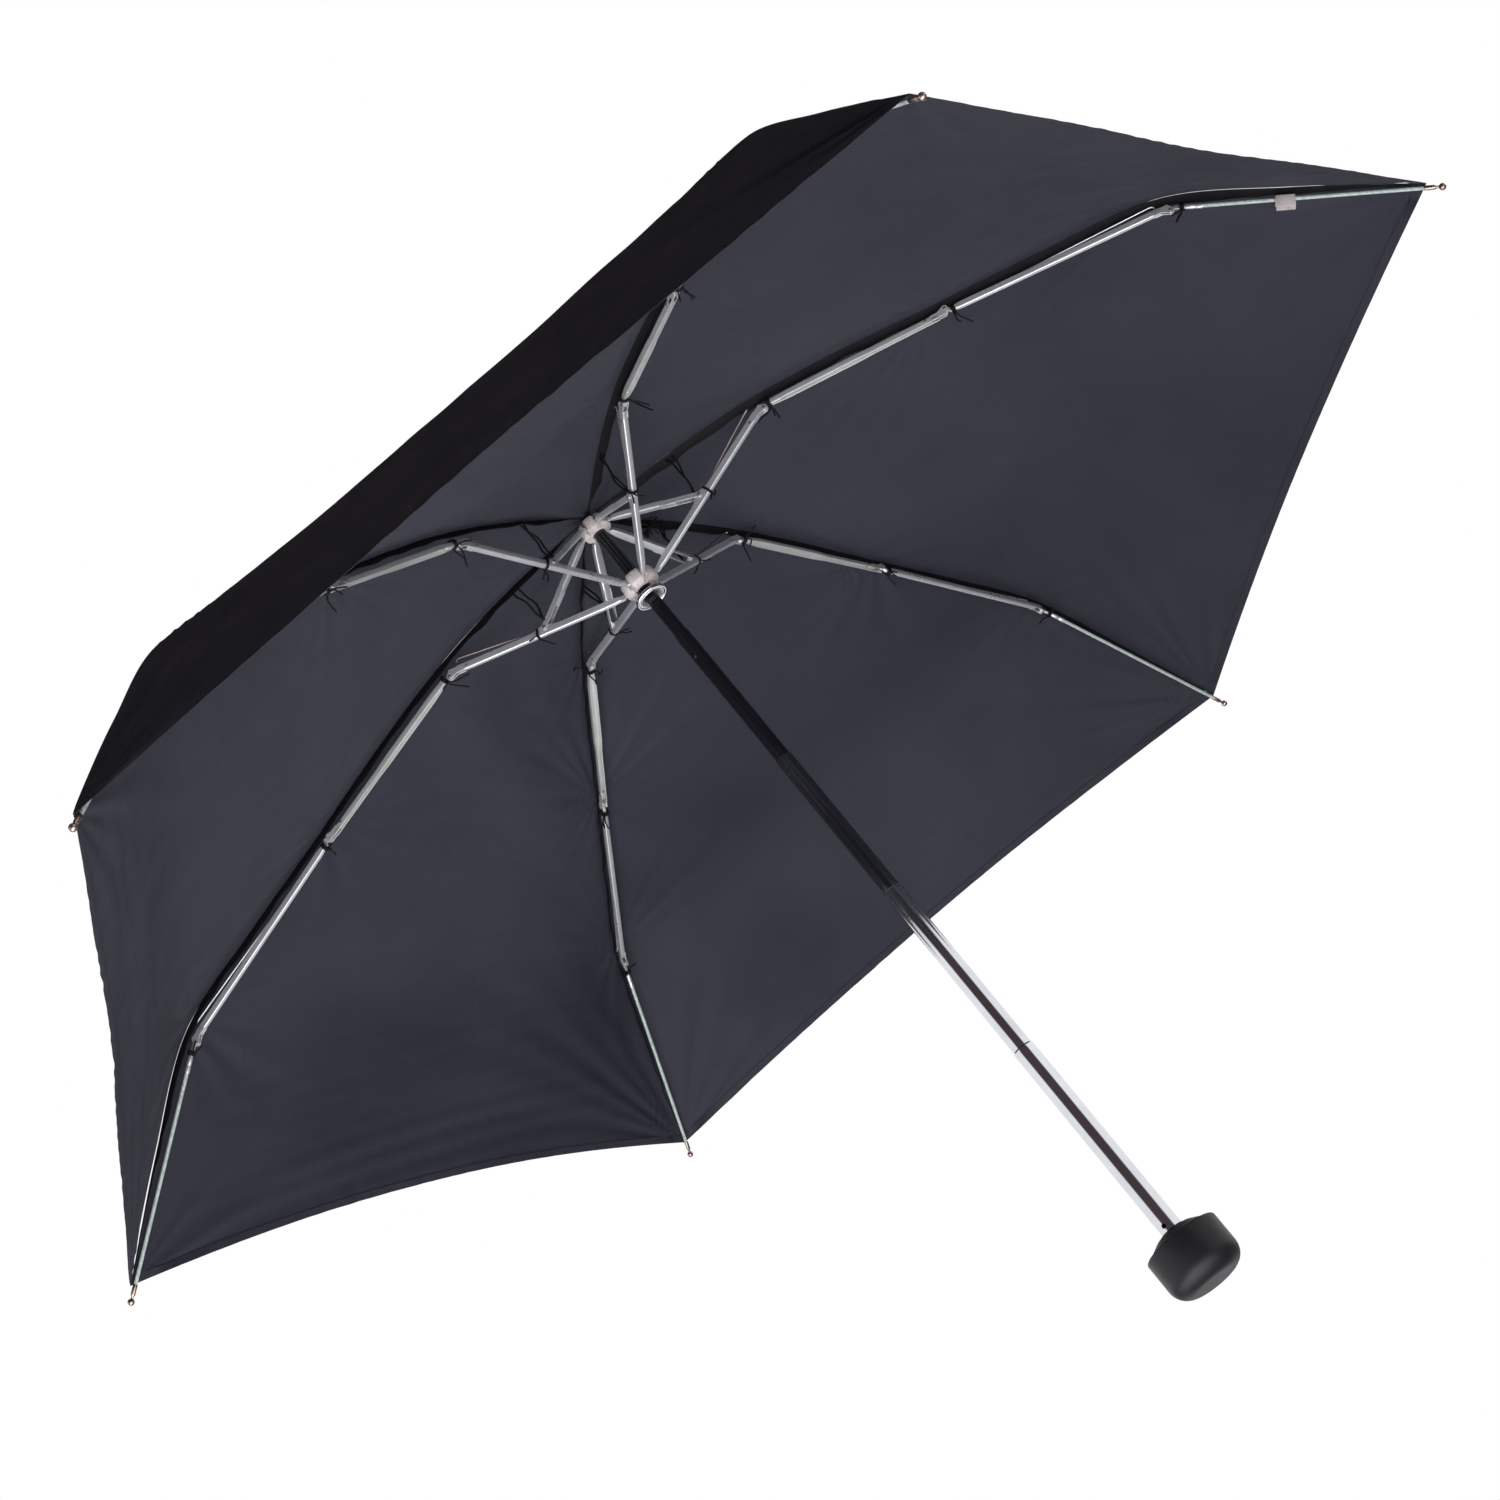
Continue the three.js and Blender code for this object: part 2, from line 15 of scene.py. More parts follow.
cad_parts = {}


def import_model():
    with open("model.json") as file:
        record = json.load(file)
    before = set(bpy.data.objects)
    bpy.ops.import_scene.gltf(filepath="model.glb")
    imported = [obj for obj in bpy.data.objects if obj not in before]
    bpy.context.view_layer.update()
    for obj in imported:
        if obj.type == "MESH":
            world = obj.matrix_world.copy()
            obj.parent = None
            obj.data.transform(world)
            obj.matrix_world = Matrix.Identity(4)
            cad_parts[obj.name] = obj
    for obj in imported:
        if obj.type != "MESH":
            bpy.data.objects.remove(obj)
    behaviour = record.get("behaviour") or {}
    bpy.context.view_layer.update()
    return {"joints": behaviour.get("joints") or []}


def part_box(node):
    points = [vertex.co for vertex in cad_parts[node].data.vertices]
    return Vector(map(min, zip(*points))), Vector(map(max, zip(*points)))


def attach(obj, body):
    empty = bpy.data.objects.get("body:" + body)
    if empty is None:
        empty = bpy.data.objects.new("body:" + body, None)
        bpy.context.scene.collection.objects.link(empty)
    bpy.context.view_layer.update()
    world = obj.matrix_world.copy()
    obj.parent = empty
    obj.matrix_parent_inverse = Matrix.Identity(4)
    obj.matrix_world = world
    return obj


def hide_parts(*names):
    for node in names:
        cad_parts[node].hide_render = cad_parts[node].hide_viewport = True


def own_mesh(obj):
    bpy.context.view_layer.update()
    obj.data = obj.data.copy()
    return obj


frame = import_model()
MM = 0.001

# ---------------- places read from the frame

RIBS = 6
RIB_STEP = 2 * math.pi / RIBS
JOINTS = {joint["name"]: joint for joint in frame["joints"]}


def hinge(name):
    """A hinge's place in rib 1's plane: (distance from the shaft, height)."""
    x, y, z = JOINTS[name]["pos_m"]
    return np.array([math.hypot(x, y), z])


CROWN_HINGE = hinge("top_link_1_hinge")
RUNNER_HINGE = hinge("stretcher_1_hinge")
KNEE_1 = hinge("rib_section_2_1_hinge")
KNEE_2 = hinge("rib_section_3_1_hinge")
KNEE_3 = hinge("tip_rod_1_hinge")
STRETCHER_WIRE_FOOT = hinge("stretcher_wire_1_hinge")
SECTION_WIRE_FOOT = hinge("section_wire_1_hinge")

# Millimetres, as the CAD has them: how far each far pivot stands off its member's own line, the rod's tip,
# and where the top link and the two wires end on their members.
KNEE_DROP = -3.6
KNEE_RISE = 3.8
ROD_LIFT = 1.5
ROD_TIP = np.array([445, 352]) * MM
LINK_HOLD = (49, 0.8)
STRETCHER_WIRE_END = (102.5, 5)
SECTION_WIRE_INSET = 7
SECTION_WIRE_END_Z = 3.2


def rib_turn(rib, size=4):
    """The turn from rib 1's plane to the plane of rib number rib (from 1)."""
    return Matrix.Rotation((rib - 1) * RIB_STEP, size, "Z")


class Member:
    """A straight member, long mm, from one pivot; its far pivot stands offset mm above its own line."""

    def __init__(self, start, end, offset=0.0):
        reach = float(np.linalg.norm(end - start))
        off = offset * MM
        length = math.sqrt(reach * reach - off * off)
        self.start = start
        self.long = length / MM
        self.angle = math.atan2(end[1] - start[1], end[0] - start[0]) - math.atan2(off, length)
        self.along = np.array([math.cos(self.angle), math.sin(self.angle)])

    def at(self, x, z):
        """A point of the rib's plane, from millimetres along and above the member's line."""
        across = np.array([-self.along[1], self.along[0]])
        return self.start + self.along * x * MM + across * z * MM

    def matrix(self, rib):
        """From the member's own frame to the row frame, on rib number rib (from 1)."""
        place = Matrix.Translation((self.start[0], 0, self.start[1]))
        return rib_turn(rib) @ place @ Matrix.Rotation(-self.angle, 4, "Y")


STRETCHER = Member(RUNNER_HINGE, KNEE_1, KNEE_DROP)
SECTION_2 = Member(KNEE_1, KNEE_2, KNEE_RISE)
SECTION_3 = Member(KNEE_2, KNEE_3, -KNEE_RISE)
TIP_ROD = Member(KNEE_3, ROD_TIP, ROD_LIFT)
TOP_LINK = Member(CROWN_HINGE, STRETCHER.at(*LINK_HOLD))
STRETCHER_WIRE = Member(STRETCHER_WIRE_FOOT, STRETCHER.at(*STRETCHER_WIRE_END))
SECTION_WIRE_END = (SECTION_3.long - SECTION_WIRE_INSET, SECTION_WIRE_END_Z)
SECTION_WIRE = Member(SECTION_WIRE_FOOT, SECTION_3.at(*SECTION_WIRE_END))

# ---------------- material helpers


class Nodes:
    """A short way to write a material's node tree."""

    def __init__(self, name):
        self.material = bpy.data.materials.new(name)
        self.material.use_nodes = True
        self.tree = self.material.node_tree
        self.tree.nodes.clear()

    @classmethod
    def on(cls, tree):
        """The same short way for a tree that is there already."""
        nodes = cls.__new__(cls)
        nodes.tree = tree
        tree.nodes.clear()
        return nodes

    def add(self, kind, inputs=None, **settings):
        """A node of this kind; its inputs take values or other nodes' outputs."""
        node = self.tree.nodes.new(kind)
        for key, value in settings.items():
            setattr(node, key, value)
        for key, value in (inputs or {}).items():
            self.set(node, key, value)
        return node

    def set(self, node, key, value):
        socket = node.inputs[key]
        if isinstance(value, bpy.types.NodeSocket):
            self.tree.links.new(value, socket)
        else:
            socket.default_value = value

    def coords(self, scale, kind="Object"):
        """Texture coordinates stretched by scale = (x, y, z)."""
        source = self.add("ShaderNodeTexCoord").outputs[kind]
        return self.add("ShaderNodeMapping", {"Vector": source, "Scale": scale}).outputs[0]

    def noise(self, scale, detail, roughness=0.55, kind="Object"):
        """Noise about 0.5, stretched by scale = a number or (x, y, z)."""
        stretch = scale if hasattr(scale, "__len__") else (scale, scale, scale)
        inputs = {"Vector": self.coords(stretch, kind), "Scale": 1.0, "Detail": detail}
        return self.add("ShaderNodeTexNoise", inputs | {"Roughness": roughness}).outputs["Fac"]

    def ramp(self, value, low, high, to_low=0.0, to_high=1.0):
        inputs = {"Value": value, "From Min": low, "From Max": high, "To Min": to_low, "To Max": to_high}
        return self.add("ShaderNodeMapRange", inputs).outputs["Result"]

    def math(self, operation, a, b=0.0):
        return self.add("ShaderNodeMath", {0: a, 1: b}, operation=operation).outputs[0]

    def measure(self, operation, a, b=(0.0, 0.0, 0.0)):
        """A number worked out from vectors, as DOT_PRODUCT, DISTANCE or LENGTH."""
        return self.add("ShaderNodeVectorMath", {0: a, 1: b}, operation=operation).outputs["Value"]

    def blend(self, factor, a, b):
        return self.add("ShaderNodeMix", {0: factor, 2: a, 3: b}, data_type="FLOAT").outputs[0]

    def mix(self, factor, a, b):
        return self.add("ShaderNodeMix", {0: factor, 6: a, 7: b}, data_type="RGBA").outputs[2]

    def bump(self, height, distance, strength=1.0, normal=None):
        node = self.add("ShaderNodeBump", {"Height": height, "Distance": distance, "Strength": strength})
        if normal is not None:
            self.set(node, "Normal", normal)
        return node.outputs[0]

    def finish(self, **inputs):
        """The surface shader; keyword names are the shader's input names with _ for a space."""
        named = {key.replace("_", " "): value for key, value in inputs.items()}
        shader = self.add("ShaderNodeBsdfPrincipled", named)
        self.add("ShaderNodeOutputMaterial", {"Surface": shader.outputs[0]})
        return self.material


def colour(r, g, b):
    return (r, g, b, 1.0)


# ---------------- materials

WEAVE_PITCH = 0.00042


def cloth_material():
    """Tightly woven dark polyester: plain weave, slubs, packing creases and a low silky gloss."""
    n = Nodes("cloth")
    flat = n.add("ShaderNodeTexCoord").outputs["UV"]
    split = n.add("ShaderNodeSeparateXYZ", {"Vector": flat})
    across, along = split.outputs[0], split.outputs[1]
    turns = 2 * math.pi / WEAVE_PITCH
    warp = n.math("SINE", n.math("MULTIPLY", across, turns))
    weft = n.math("SINE", n.math("MULTIPLY", along, turns))
    weave = n.math("MULTIPLY", warp, weft)
    slub = n.noise((60, 2400, 1), 2.0, kind="UV")
    crumple = n.noise(34, 4.0, 0.5)
    cells = n.add("ShaderNodeTexVoronoi", {"Vector": n.coords((11, 11, 11)), "Scale": 1.0},
                  feature="DISTANCE_TO_EDGE")
    crease = n.ramp(cells.outputs["Distance"], 0.0, 0.035, 1.0, 0.0)
    patches = n.noise(7, 2.0)
    dark = colour(0.032, 0.0318, 0.045)
    light = colour(0.049, 0.049, 0.067)
    base = n.mix(n.ramp(n.math("ADD", patches, n.math("MULTIPLY", slub, 0.5)), 0.45, 1.05), dark, light)
    fine = n.bump(weave, 0.00005, 0.55)
    soft = n.bump(crumple, 0.0014, 0.35, fine)
    lines = n.bump(crease, 0.00035, 0.25, soft)
    rough = n.ramp(crumple, 0.3, 0.7, 0.42, 0.56)
    return n.finish(Base_Color=base, Roughness=rough, Normal=lines, Specular_IOR_Level=0.14,
                    Sheen_Weight=0.05, Sheen_Roughness=0.35, Sheen_Tint=colour(0.75, 0.77, 0.9))


def seam_painted_shade_and_thread_material():
    """The folded seam and the threads, almost black: the threads' own black, and painted shade on the seam,
    which is the same cloth folded in layers.
    """
    n = Nodes("seam")
    inputs = {"Vector": n.coords((900, 900, 900)), "Scale": 1.0, "Distortion": 1.2}
    twist = n.add("ShaderNodeTexWave", inputs)
    fuzz = n.noise(1500, 2.0)
    # Near black: the threads' own colour, and painted shade where it dresses the seam flaps, far darker
    # than their cloth.
    base = n.mix(fuzz, colour(0.003, 0.003, 0.004), colour(0.009, 0.009, 0.011))
    return n.finish(Base_Color=base, Roughness=0.7, Specular_IOR_Level=0.25,
                    Normal=n.bump(twist.outputs["Fac"], 0.0001, 0.5))


def metal_material(name, tone, rough, streak, wear=0.12, bump=0.00003, metallic=1.0):
    """Plated or drawn metal with fine streaks and faint handling marks."""
    n = Nodes(name)
    streaks = n.noise(streak, 3.0)
    smears = n.noise(55, 4.0, 0.6)
    r, g, b = tone
    base = n.mix(n.ramp(smears, 0.35, 0.7), colour(r, g, b), colour(r * 0.86, g * 0.86, b * 0.87))
    gloss = n.math("ADD", n.ramp(streaks, 0.3, 0.7, rough * 0.75, rough * 1.25),
                   n.ramp(smears, 0.45, 0.75, 0.0, wear))
    return n.finish(Base_Color=base, Metallic=metallic, Roughness=gloss,
                    Normal=n.bump(streaks, bump, 0.3))


def black_tube_material():
    """Gloss black paint over a drawn tube, with rub marks from the runner."""
    n = Nodes("black_tube")
    rubs = n.noise((500, 500, 14), 4.0)
    dust = n.noise(160, 5.0)
    base = n.mix(n.ramp(rubs, 0.58, 0.78), colour(0.0065, 0.0065, 0.0085), colour(0.03, 0.03, 0.034))
    gloss = n.math("ADD", n.ramp(rubs, 0.4, 0.7, 0.16, 0.30), n.ramp(dust, 0.5, 0.8, 0.0, 0.1))
    return n.finish(Base_Color=base, Roughness=gloss, Normal=n.bump(rubs, 0.00004, 0.35),
                    Coat_Weight=0.5, Coat_Roughness=0.08)


def moulded_material(name, grain, spread, tones, rough, bump, **more):
    """Plastic or glass fibre whose one grain, (scale, detail), drives its colour, roughness and bumps."""
    n = Nodes(name)
    pattern = n.noise(*grain)
    base = n.mix(n.ramp(pattern, *spread), colour(*tones[0]), colour(*tones[1]))
    return n.finish(Base_Color=base, Roughness=n.ramp(pattern, 0.3, 0.7, *rough),
                    Normal=n.bump(pattern, *bump), **more)


def soft_touch_material():
    """Soft-touch lacquer on the knob: matt, with a very fine grain and faint finger marks."""
    n = Nodes("soft_black")
    grain = n.noise(2600, 2.0)
    marks = n.noise(60, 4.0, 0.6)
    base = n.mix(n.ramp(marks, 0.35, 0.7), colour(0.008, 0.0078, 0.0095), colour(0.013, 0.0127, 0.015))
    return n.finish(Base_Color=base, Roughness=n.ramp(marks, 0.35, 0.7, 0.4, 0.5),
                    Normal=n.bump(grain, 0.00004, 0.35), Sheen_Weight=0.1, Sheen_Roughness=0.5,
                    Specular_IOR_Level=0.4)


CLOTH = cloth_material()
SEAM_PAINTED_SHADE_AND_THREAD = seam_painted_shade_and_thread_material()
STEEL = metal_material("steel", (0.88, 0.88, 0.90), 0.32, 40, 0.05, 0.0, 0.70)
CHANNEL_GREY = metal_material("channel_grey", (0.80, 0.81, 0.79), 0.42, 40, 0.08, 0.0, 0.6)
COPPER = metal_material("copper", (0.58, 0.44, 0.37), 0.3, 500)
RIVET = metal_material("rivet", (0.40, 0.33, 0.30), 0.4, 500)
CHROME = metal_material("chrome", (0.86, 0.87, 0.89), 0.09, (300, 300, 8), 0.05, 0.000003)
DARK_CHROME = metal_material("dark_chrome", (0.30, 0.31, 0.33), 0.14, (300, 300, 8), 0.06, 0.000003)
BLACK_TUBE = black_tube_material()
# Pale green-white glass fibre, with its strands showing along the rod.
FIBREGLASS = moulded_material(
    "fibreglass", ((700, 700, 30), 3.0), (0.35, 0.7), ((0.43, 0.53, 0.49), (0.70, 0.77, 0.73)),
    (0.28, 0.45), (0.00008, 0.5), Subsurface_Weight=0.2, Subsurface_Radius=(0.001, 0.001, 0.001),
    Coat_Weight=0.3)
# Milky nylon with a faint warm cast, flow marks and a dull skin.
CLEAR_PLASTIC = moulded_material(
    "clear_plastic", ((260, 260, 120), 4.0), (0.3, 0.7), ((0.74, 0.63, 0.62), (0.88, 0.82, 0.81)),
    (0.22, 0.4), (0.0002, 0.3), IOR=1.5, Transmission_Weight=0.18, Subsurface_Weight=0.3,
    Subsurface_Radius=(0.004, 0.003, 0.003))
BLACK_PLASTIC = moulded_material(
    "black_plastic", (900, 3.0), (0.0, 1.0), ((0.012, 0.012, 0.014), (0.024, 0.024, 0.027)),
    (0.38, 0.52), (0.00006, 0.4))
SOFT_BLACK = soft_touch_material()

# ---------------- mesh helpers

IDENTITY = Matrix.Identity(4)


class Shape:
    """Vertices and faces gathered from simple parts; lengths in millimetres until it becomes an object."""

    def __init__(self):
        self.verts = []
        self.faces = []

    def add(self, verts, faces):
        first = len(self.verts)
        self.verts.extend(tuple(v) for v in verts)
        self.faces.extend(tuple(first + i for i in face) for face in faces)
        return self

    def loft(self, loops, caps=True, closed=False):
        """Skins a list of closed loops that all have the same number of points."""
        count = len(loops[0])
        verts = [point for loop in loops for point in loop]
        spans = len(loops) if closed else len(loops) - 1
        faces = []
        for row in range(spans):
            a, b = row * count, ((row + 1) % len(loops)) * count
            faces.extend((a + i, a + (i + 1) % count, b + (i + 1) % count, b + i) for i in range(count))
        if caps and not closed:
            faces.append(tuple(reversed(range(count))))
            faces.append(tuple(range(len(verts) - count, len(verts))))
        return self.add(verts, faces)

    def lathe(self, profile, sides, axis="z", centre=(0, 0, 0)):
        """Turns a profile of (radius, height) about an axis; one that ends where it starts makes a ring."""
        closed = profile[0] == profile[-1]
        rings = profile[:-1] if closed else profile
        loops = []
        for radius, height in rings:
            loop = []
            for i in range(sides):
                turn = 2 * math.pi * i / sides
                c, s = max(radius, 1e-4) * math.cos(turn), max(radius, 1e-4) * math.sin(turn)
                local = {"z": (c, s, height), "y": (s, height, c), "x": (height, c, s)}[axis]
                loop.append(tuple(p + q for p, q in zip(local, centre)))
            loops.append(loop)
        return self.loft(loops, caps=not closed, closed=closed)

    def wire(self, points, radius, sides=8):
        """A round wire along points; radius may be a number or one number for each point."""
        path = [Vector(p) for p in points]
        radii = radius if hasattr(radius, "__len__") else [radius] * len(path)
        side = Vector((0, 1, 0))
        loops = []
        for i, point in enumerate(path):
            along = (path[min(i + 1, len(path) - 1)] - path[max(i - 1, 0)]).normalized()
            if abs(along.dot(side)) > 0.97:
                side = Vector((0, 0, 1))
            up = along.cross(side).normalized()
            side = up.cross(along).normalized()
            turns = [2 * math.pi * k / sides for k in range(sides)]
            loops.append([point + (side * math.cos(t) + up * math.sin(t)) * radii[i] for t in turns])
        return self.loft(loops)

    def plate(self, outline, y0, y1, bevel=0.08):
        """A flat plate with its outline in the (x, z) plane, its rims chamfered."""
        points = [Vector(p) for p in outline]
        count = len(points)
        area = sum(a.x * b.y - b.x * a.y for a, b in zip(points, points[1:] + points[:1]))
        if area < 0:
            points.reverse()
        inner = []
        for i, point in enumerate(points):
            before = (point - points[i - 1]).normalized()
            after = (points[(i + 1) % count] - point).normalized()
            normal = Vector((-(before.y + after.y), before.x + after.x))
            inner.append(point + normal.normalized() * bevel)
        rows = [(inner, y1), (points, y1 - bevel), (points, y0 + bevel), (inner, y0)]
        return self.loft([[(p.x, y, p.y) for p in loop] for loop, y in rows])

    def channel(self, stations, thickness=0.4, down=False):
        """A rolled U channel with rounded corners: stations are (x, half width, web, edge height)."""
        loops = []
        for x, half, web, edge in stations:
            height = abs(edge - web)
            corner = min(0.7, half * 0.6, height * 0.6)
            line = [(-half, height), (-half, height * 0.6), (-half, corner)]
            line += [(-half + corner * (1 - math.cos(t)), corner * (1 - math.sin(t)))
                     for t in (math.pi / 8, math.pi / 4, 3 * math.pi / 8)]
            line += [(-half + corner, 0), (0, 0)]
            line += [(-y, z) for y, z in reversed(line[:-1])]
            loops.append(self.thicken(x, line, thickness, web, -1 if down else 1))
        return self.loft(loops)

    @staticmethod
    def thicken(x, line, thickness, web, sign):
        """A closed outline round a centre line, with raised ends, at station x of a channel."""
        points = [Vector(p) for p in line]
        normals = []
        for i in range(len(points)):
            along = points[min(i + 1, len(points) - 1)] - points[max(i - 1, 0)]
            along.normalize()
            normals.append(Vector((along.y, -along.x)))
        half = thickness / 2
        outer = [p + n * half for p, n in zip(points, normals)]
        inner = [p - n * half for p, n in zip(points, normals)]
        lift = Vector((0, half * 0.7))
        loop = [points[0] + lift] + outer + [points[-1] + lift] + list(reversed(inner))
        made = [(x, p.x, web + sign * (p.y + half)) for p in loop]
        return made if sign > 0 else list(reversed(made))

    def rivet(self, x, z, half, radius=0.95, dome=0.4):
        """A pin across the member with a domed head on each side."""
        profile = [(0, -half - dome), (radius * 0.55, -half - dome * 0.9),
                   (radius * 0.9, -half - dome * 0.45), (radius, -half - 0.03), (radius, -half + 0.02),
                   (radius * 0.45, -half + 0.03)]
        profile += [(r, -y) for r, y in reversed(profile)]
        return self.lathe(profile, 16, "y", (x, 0, z))


def lobe(centre, radius, start, end, steps=10):
    """Points of an arc about centre (x, z), from start to end degrees."""
    angles = [math.radians(start + (end - start) * i / steps) for i in range(steps + 1)]
    return [(centre[0] + radius * math.cos(a), centre[1] + radius * math.sin(a)) for a in angles]


def link(name, data):
    """A new object in the scene."""
    thing = bpy.data.objects.new(name, data)
    bpy.context.scene.collection.objects.link(thing)
    return thing


def make_object(name, shape, material, matrix=IDENTITY, sharp=32):
    """A mesh object from a Shape in millimetres, placed by matrix, shaded smooth except at sharp edges."""
    mesh = bpy.data.meshes.new(name)
    mesh.from_pydata([tuple(c * MM for c in v) for v in shape.verts], [], shape.faces)
    mesh.transform(matrix)
    work = bmesh.new()
    work.from_mesh(mesh)
    bmesh.ops.recalc_face_normals(work, faces=work.faces)
    work.to_mesh(mesh)
    work.free()
    mesh.materials.append(material)
    mesh.shade_smooth()
    mesh.set_sharp_from_angle(angle=math.radians(sharp))
    return link(name, mesh)


def enter(thing, body, stands_for=()):
    """Rides an object on its body and puts it in place of CAD nodes."""
    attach(thing, body)
    if stands_for:
        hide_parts(*stands_for)
    return thing


def piece(name, shape, material, body, matrix=IDENTITY, stands_for=(), sharp=32):
    """A piece of the umbrella, made from a Shape and entered on its body."""
    return enter(make_object(name, shape, material, matrix, sharp), body, stands_for)


# ---------------- rib members

SHEET = 0.4
ROD_RADIUS = 1.05
TIP_BALL = 1.9
CONTROL_WIRE = 0.42


def add_tongue(shape, half, low, high, eye, reach=10):
    """A flattened tongue with a round eye at the pivot, running into the channel."""
    outline = lobe((0, 0), eye, 60, 300, 14)
    outline += [(eye * 1.6, low * 0.9), (reach, low + 0.1), (reach, high - 0.1), (eye * 1.6, high * 0.9)]
    shape.plate(outline, -half, half)


def add_ears(shape, long, z, inner, low, high, radius=1.75):
    """Two rounded ears that carry on from the channel's walls to the pivot at (long, z)."""
    below = z < (low + high) / 2
    near = long - 9
    if below:
        outline = [(near, high), (near, low), (long - 4.6, low)] + lobe((long, z), radius, 225, 395, 12)
        outline += [(long - 0.4, high), (long - 3, high)]
    else:
        outline = [(near, low), (near, high), (long - 4.6, high)] + lobe((long, z), radius, 135, -35, 12)
        outline += [(long - 0.4, low), (long - 3, low)]
    for y0 in (-inner - SHEET, inner):
        shape.plate(outline, y0, y0 + SHEET, 0.06)


def stretcher_shape():
    """Runner to knee 1: a channel that opens up, pinched at the runner and tall-walled at the link."""
    long = STRETCHER.long
    half, web = 1.42, -3.4
    shape = Shape()
    add_tongue(shape, 0.9, -3.2, -0.2, 1.4)
    stations = [(4.5, 1.15, -2.9, -0.5), (8, 1.35, -3.3, -0.1)]
    stations += [(x, half, web, edge) for x, edge in
                 ((13, 0), (40, 0), (44, 0.5), (47, 1.9), (51, 1.9), (54, 0.5), (58, 0), (long - 14, 0),
                  (long - 7, 0.1))]
    shape.channel(stations + [(long - 5, half, -3.3, 0.1)])
    add_ears(shape, long, KNEE_DROP, 1.2, -3.4, 0)
    return shape


def section_2_shape():
    """Knee 1 to knee 2: a channel that opens down, wide over its first half and waisted beyond it."""
    long = SECTION_2.long
    waist = 0.58 * long
    shape = Shape()
    add_tongue(shape, 0.8, 0.5, 3.2, 1.6)
    stations = [(x, half, 3.4, 0.4) for x, half in
                ((9, 1.55), (15, 2.1), (waist - 8, 2.1), (waist - 2, 1.75), (waist + 1, 1.5),
                 (long - 12, 1.5))]
    shape.channel([(4.5, 1.3, 3.2, 0.6)] + stations + [(long - 5, 1.5, 3.3, 0.4)], down=True)
    add_ears(shape, long, KNEE_RISE, 1.3, 0.4, 3.4)
    return shape


def section_3_shape():
    """Knee 2 to knee 3: a slim channel that opens up."""
    long = SECTION_3.long
    shape = Shape()
    add_tongue(shape, 0.8, -3.2, -0.5, 1.6)
    shape.channel([(4.5, 1.1, -3.0, -0.8), (9, 1.3, -3.4, -0.4), (long - 12, 1.3, -3.4, -0.4),
                   (long - 5, 1.3, -3.3, -0.3)])
    add_ears(shape, long, -KNEE_RISE, 1.1, -3.4, -0.4)
    return shape


def top_link_shape():
    """Crown to stretcher: a U channel whose walls run on as two legs that straddle the stretcher."""
    long = TOP_LINK.long
    shape = Shape()
    add_tongue(shape, 0.9, -1.1, 0.9, 1.3, 9)
    shape.channel([(4, 1.3, -1.2, 1.1), (8, 1.9, -1.3, 1.4), (12, 2.1, -1.3, 1.5), (34, 2.1, -1.3, 1.5),
                   (38, 2.1, -1.3, 0.9), (41, 2.1, -1.2, 0.2)])
    leg = [(32, 1.5), (32, -1.3), (long - 3, -1.25)]
    leg += lobe((long, 0), 1.6, 235, 485, 14) + [(long - 3, 1.45)]
    for y0 in (-1.93 - SHEET, 1.93):
        shape.plate(leg, y0, y0 + SHEET, 0.06)
    return shape


def rod_shape():
    """Knee 3 to the tip: the glass-fibre rod itself."""
    ends = [(9, 0, ROD_LIFT), (TIP_ROD.long - 3.5, 0, ROD_LIFT)]
    points = [tuple(a + (b - a) * i / 8 for a, b in zip(*ends)) for i in range(9)]
    return Shape().wire(points, ROD_RADIUS, 16)


def rod_socket_shape():
    """The crimped steel socket that holds the rod, flattened to a tongue at knee 3."""
    shape = Shape()
    add_tongue(shape, 0.7, 0.5, 2.5, 1.5, 11)
    profile = [(0, 7), (1.0, 7.2), (1.35, 9), (1.4, 12), (1.28, 12.4), (1.28, 13.2), (1.4, 13.6),
               (1.4, 16.5), (1.32, 17), (1.1, 17.1), (0, 17.1)]
    shape.lathe(profile, 16, "x", (0, 0, ROD_LIFT))
    return shape


def rod_tip_shape():
    """The ferrule, neck and ball that the cloth's corner is sewn to."""
    long = TIP_ROD.long
    start = long - 9
    profile = [(0, start), (1.2, start), (1.28, start + 0.3), (1.28, start + 5.2), (1.15, start + 5.6),
               (0.75, start + 6.2), (0.72, long - 1.6)]
    profile += [(TIP_BALL * math.sin(t), long - TIP_BALL * math.cos(t) + 0.25)
                for t in np.linspace(0.45, math.pi, 12)]
    return Shape().lathe(profile, 18, "x", (0, 0, ROD_LIFT))


def hooked_wire_shape(member, foot_turn, end_turn):
    """A control wire with a small bent foot at its pivot and a hook at its far end."""
    long = member.long
    foot = [(0.0, 1.2 * foot_turn, 0.0), (0.0, 0.4 * foot_turn, 0.0), (0.5, 0.0, 0.0)]
    end = [(long - 3, 0, 0), (long - 1.5, 0.1 * end_turn, -0.1), (long - 0.4, 0.7 * end_turn, -0.5),
           (long - 0.2, 1.4 * end_turn, -1.0)]
    run = [(4 + (long - 7) * i / 6, 0, 0.12 * math.sin(math.pi * i / 6)) for i in range(6)]
    return Shape().wire(foot + run + end, CONTROL_WIRE, 10)


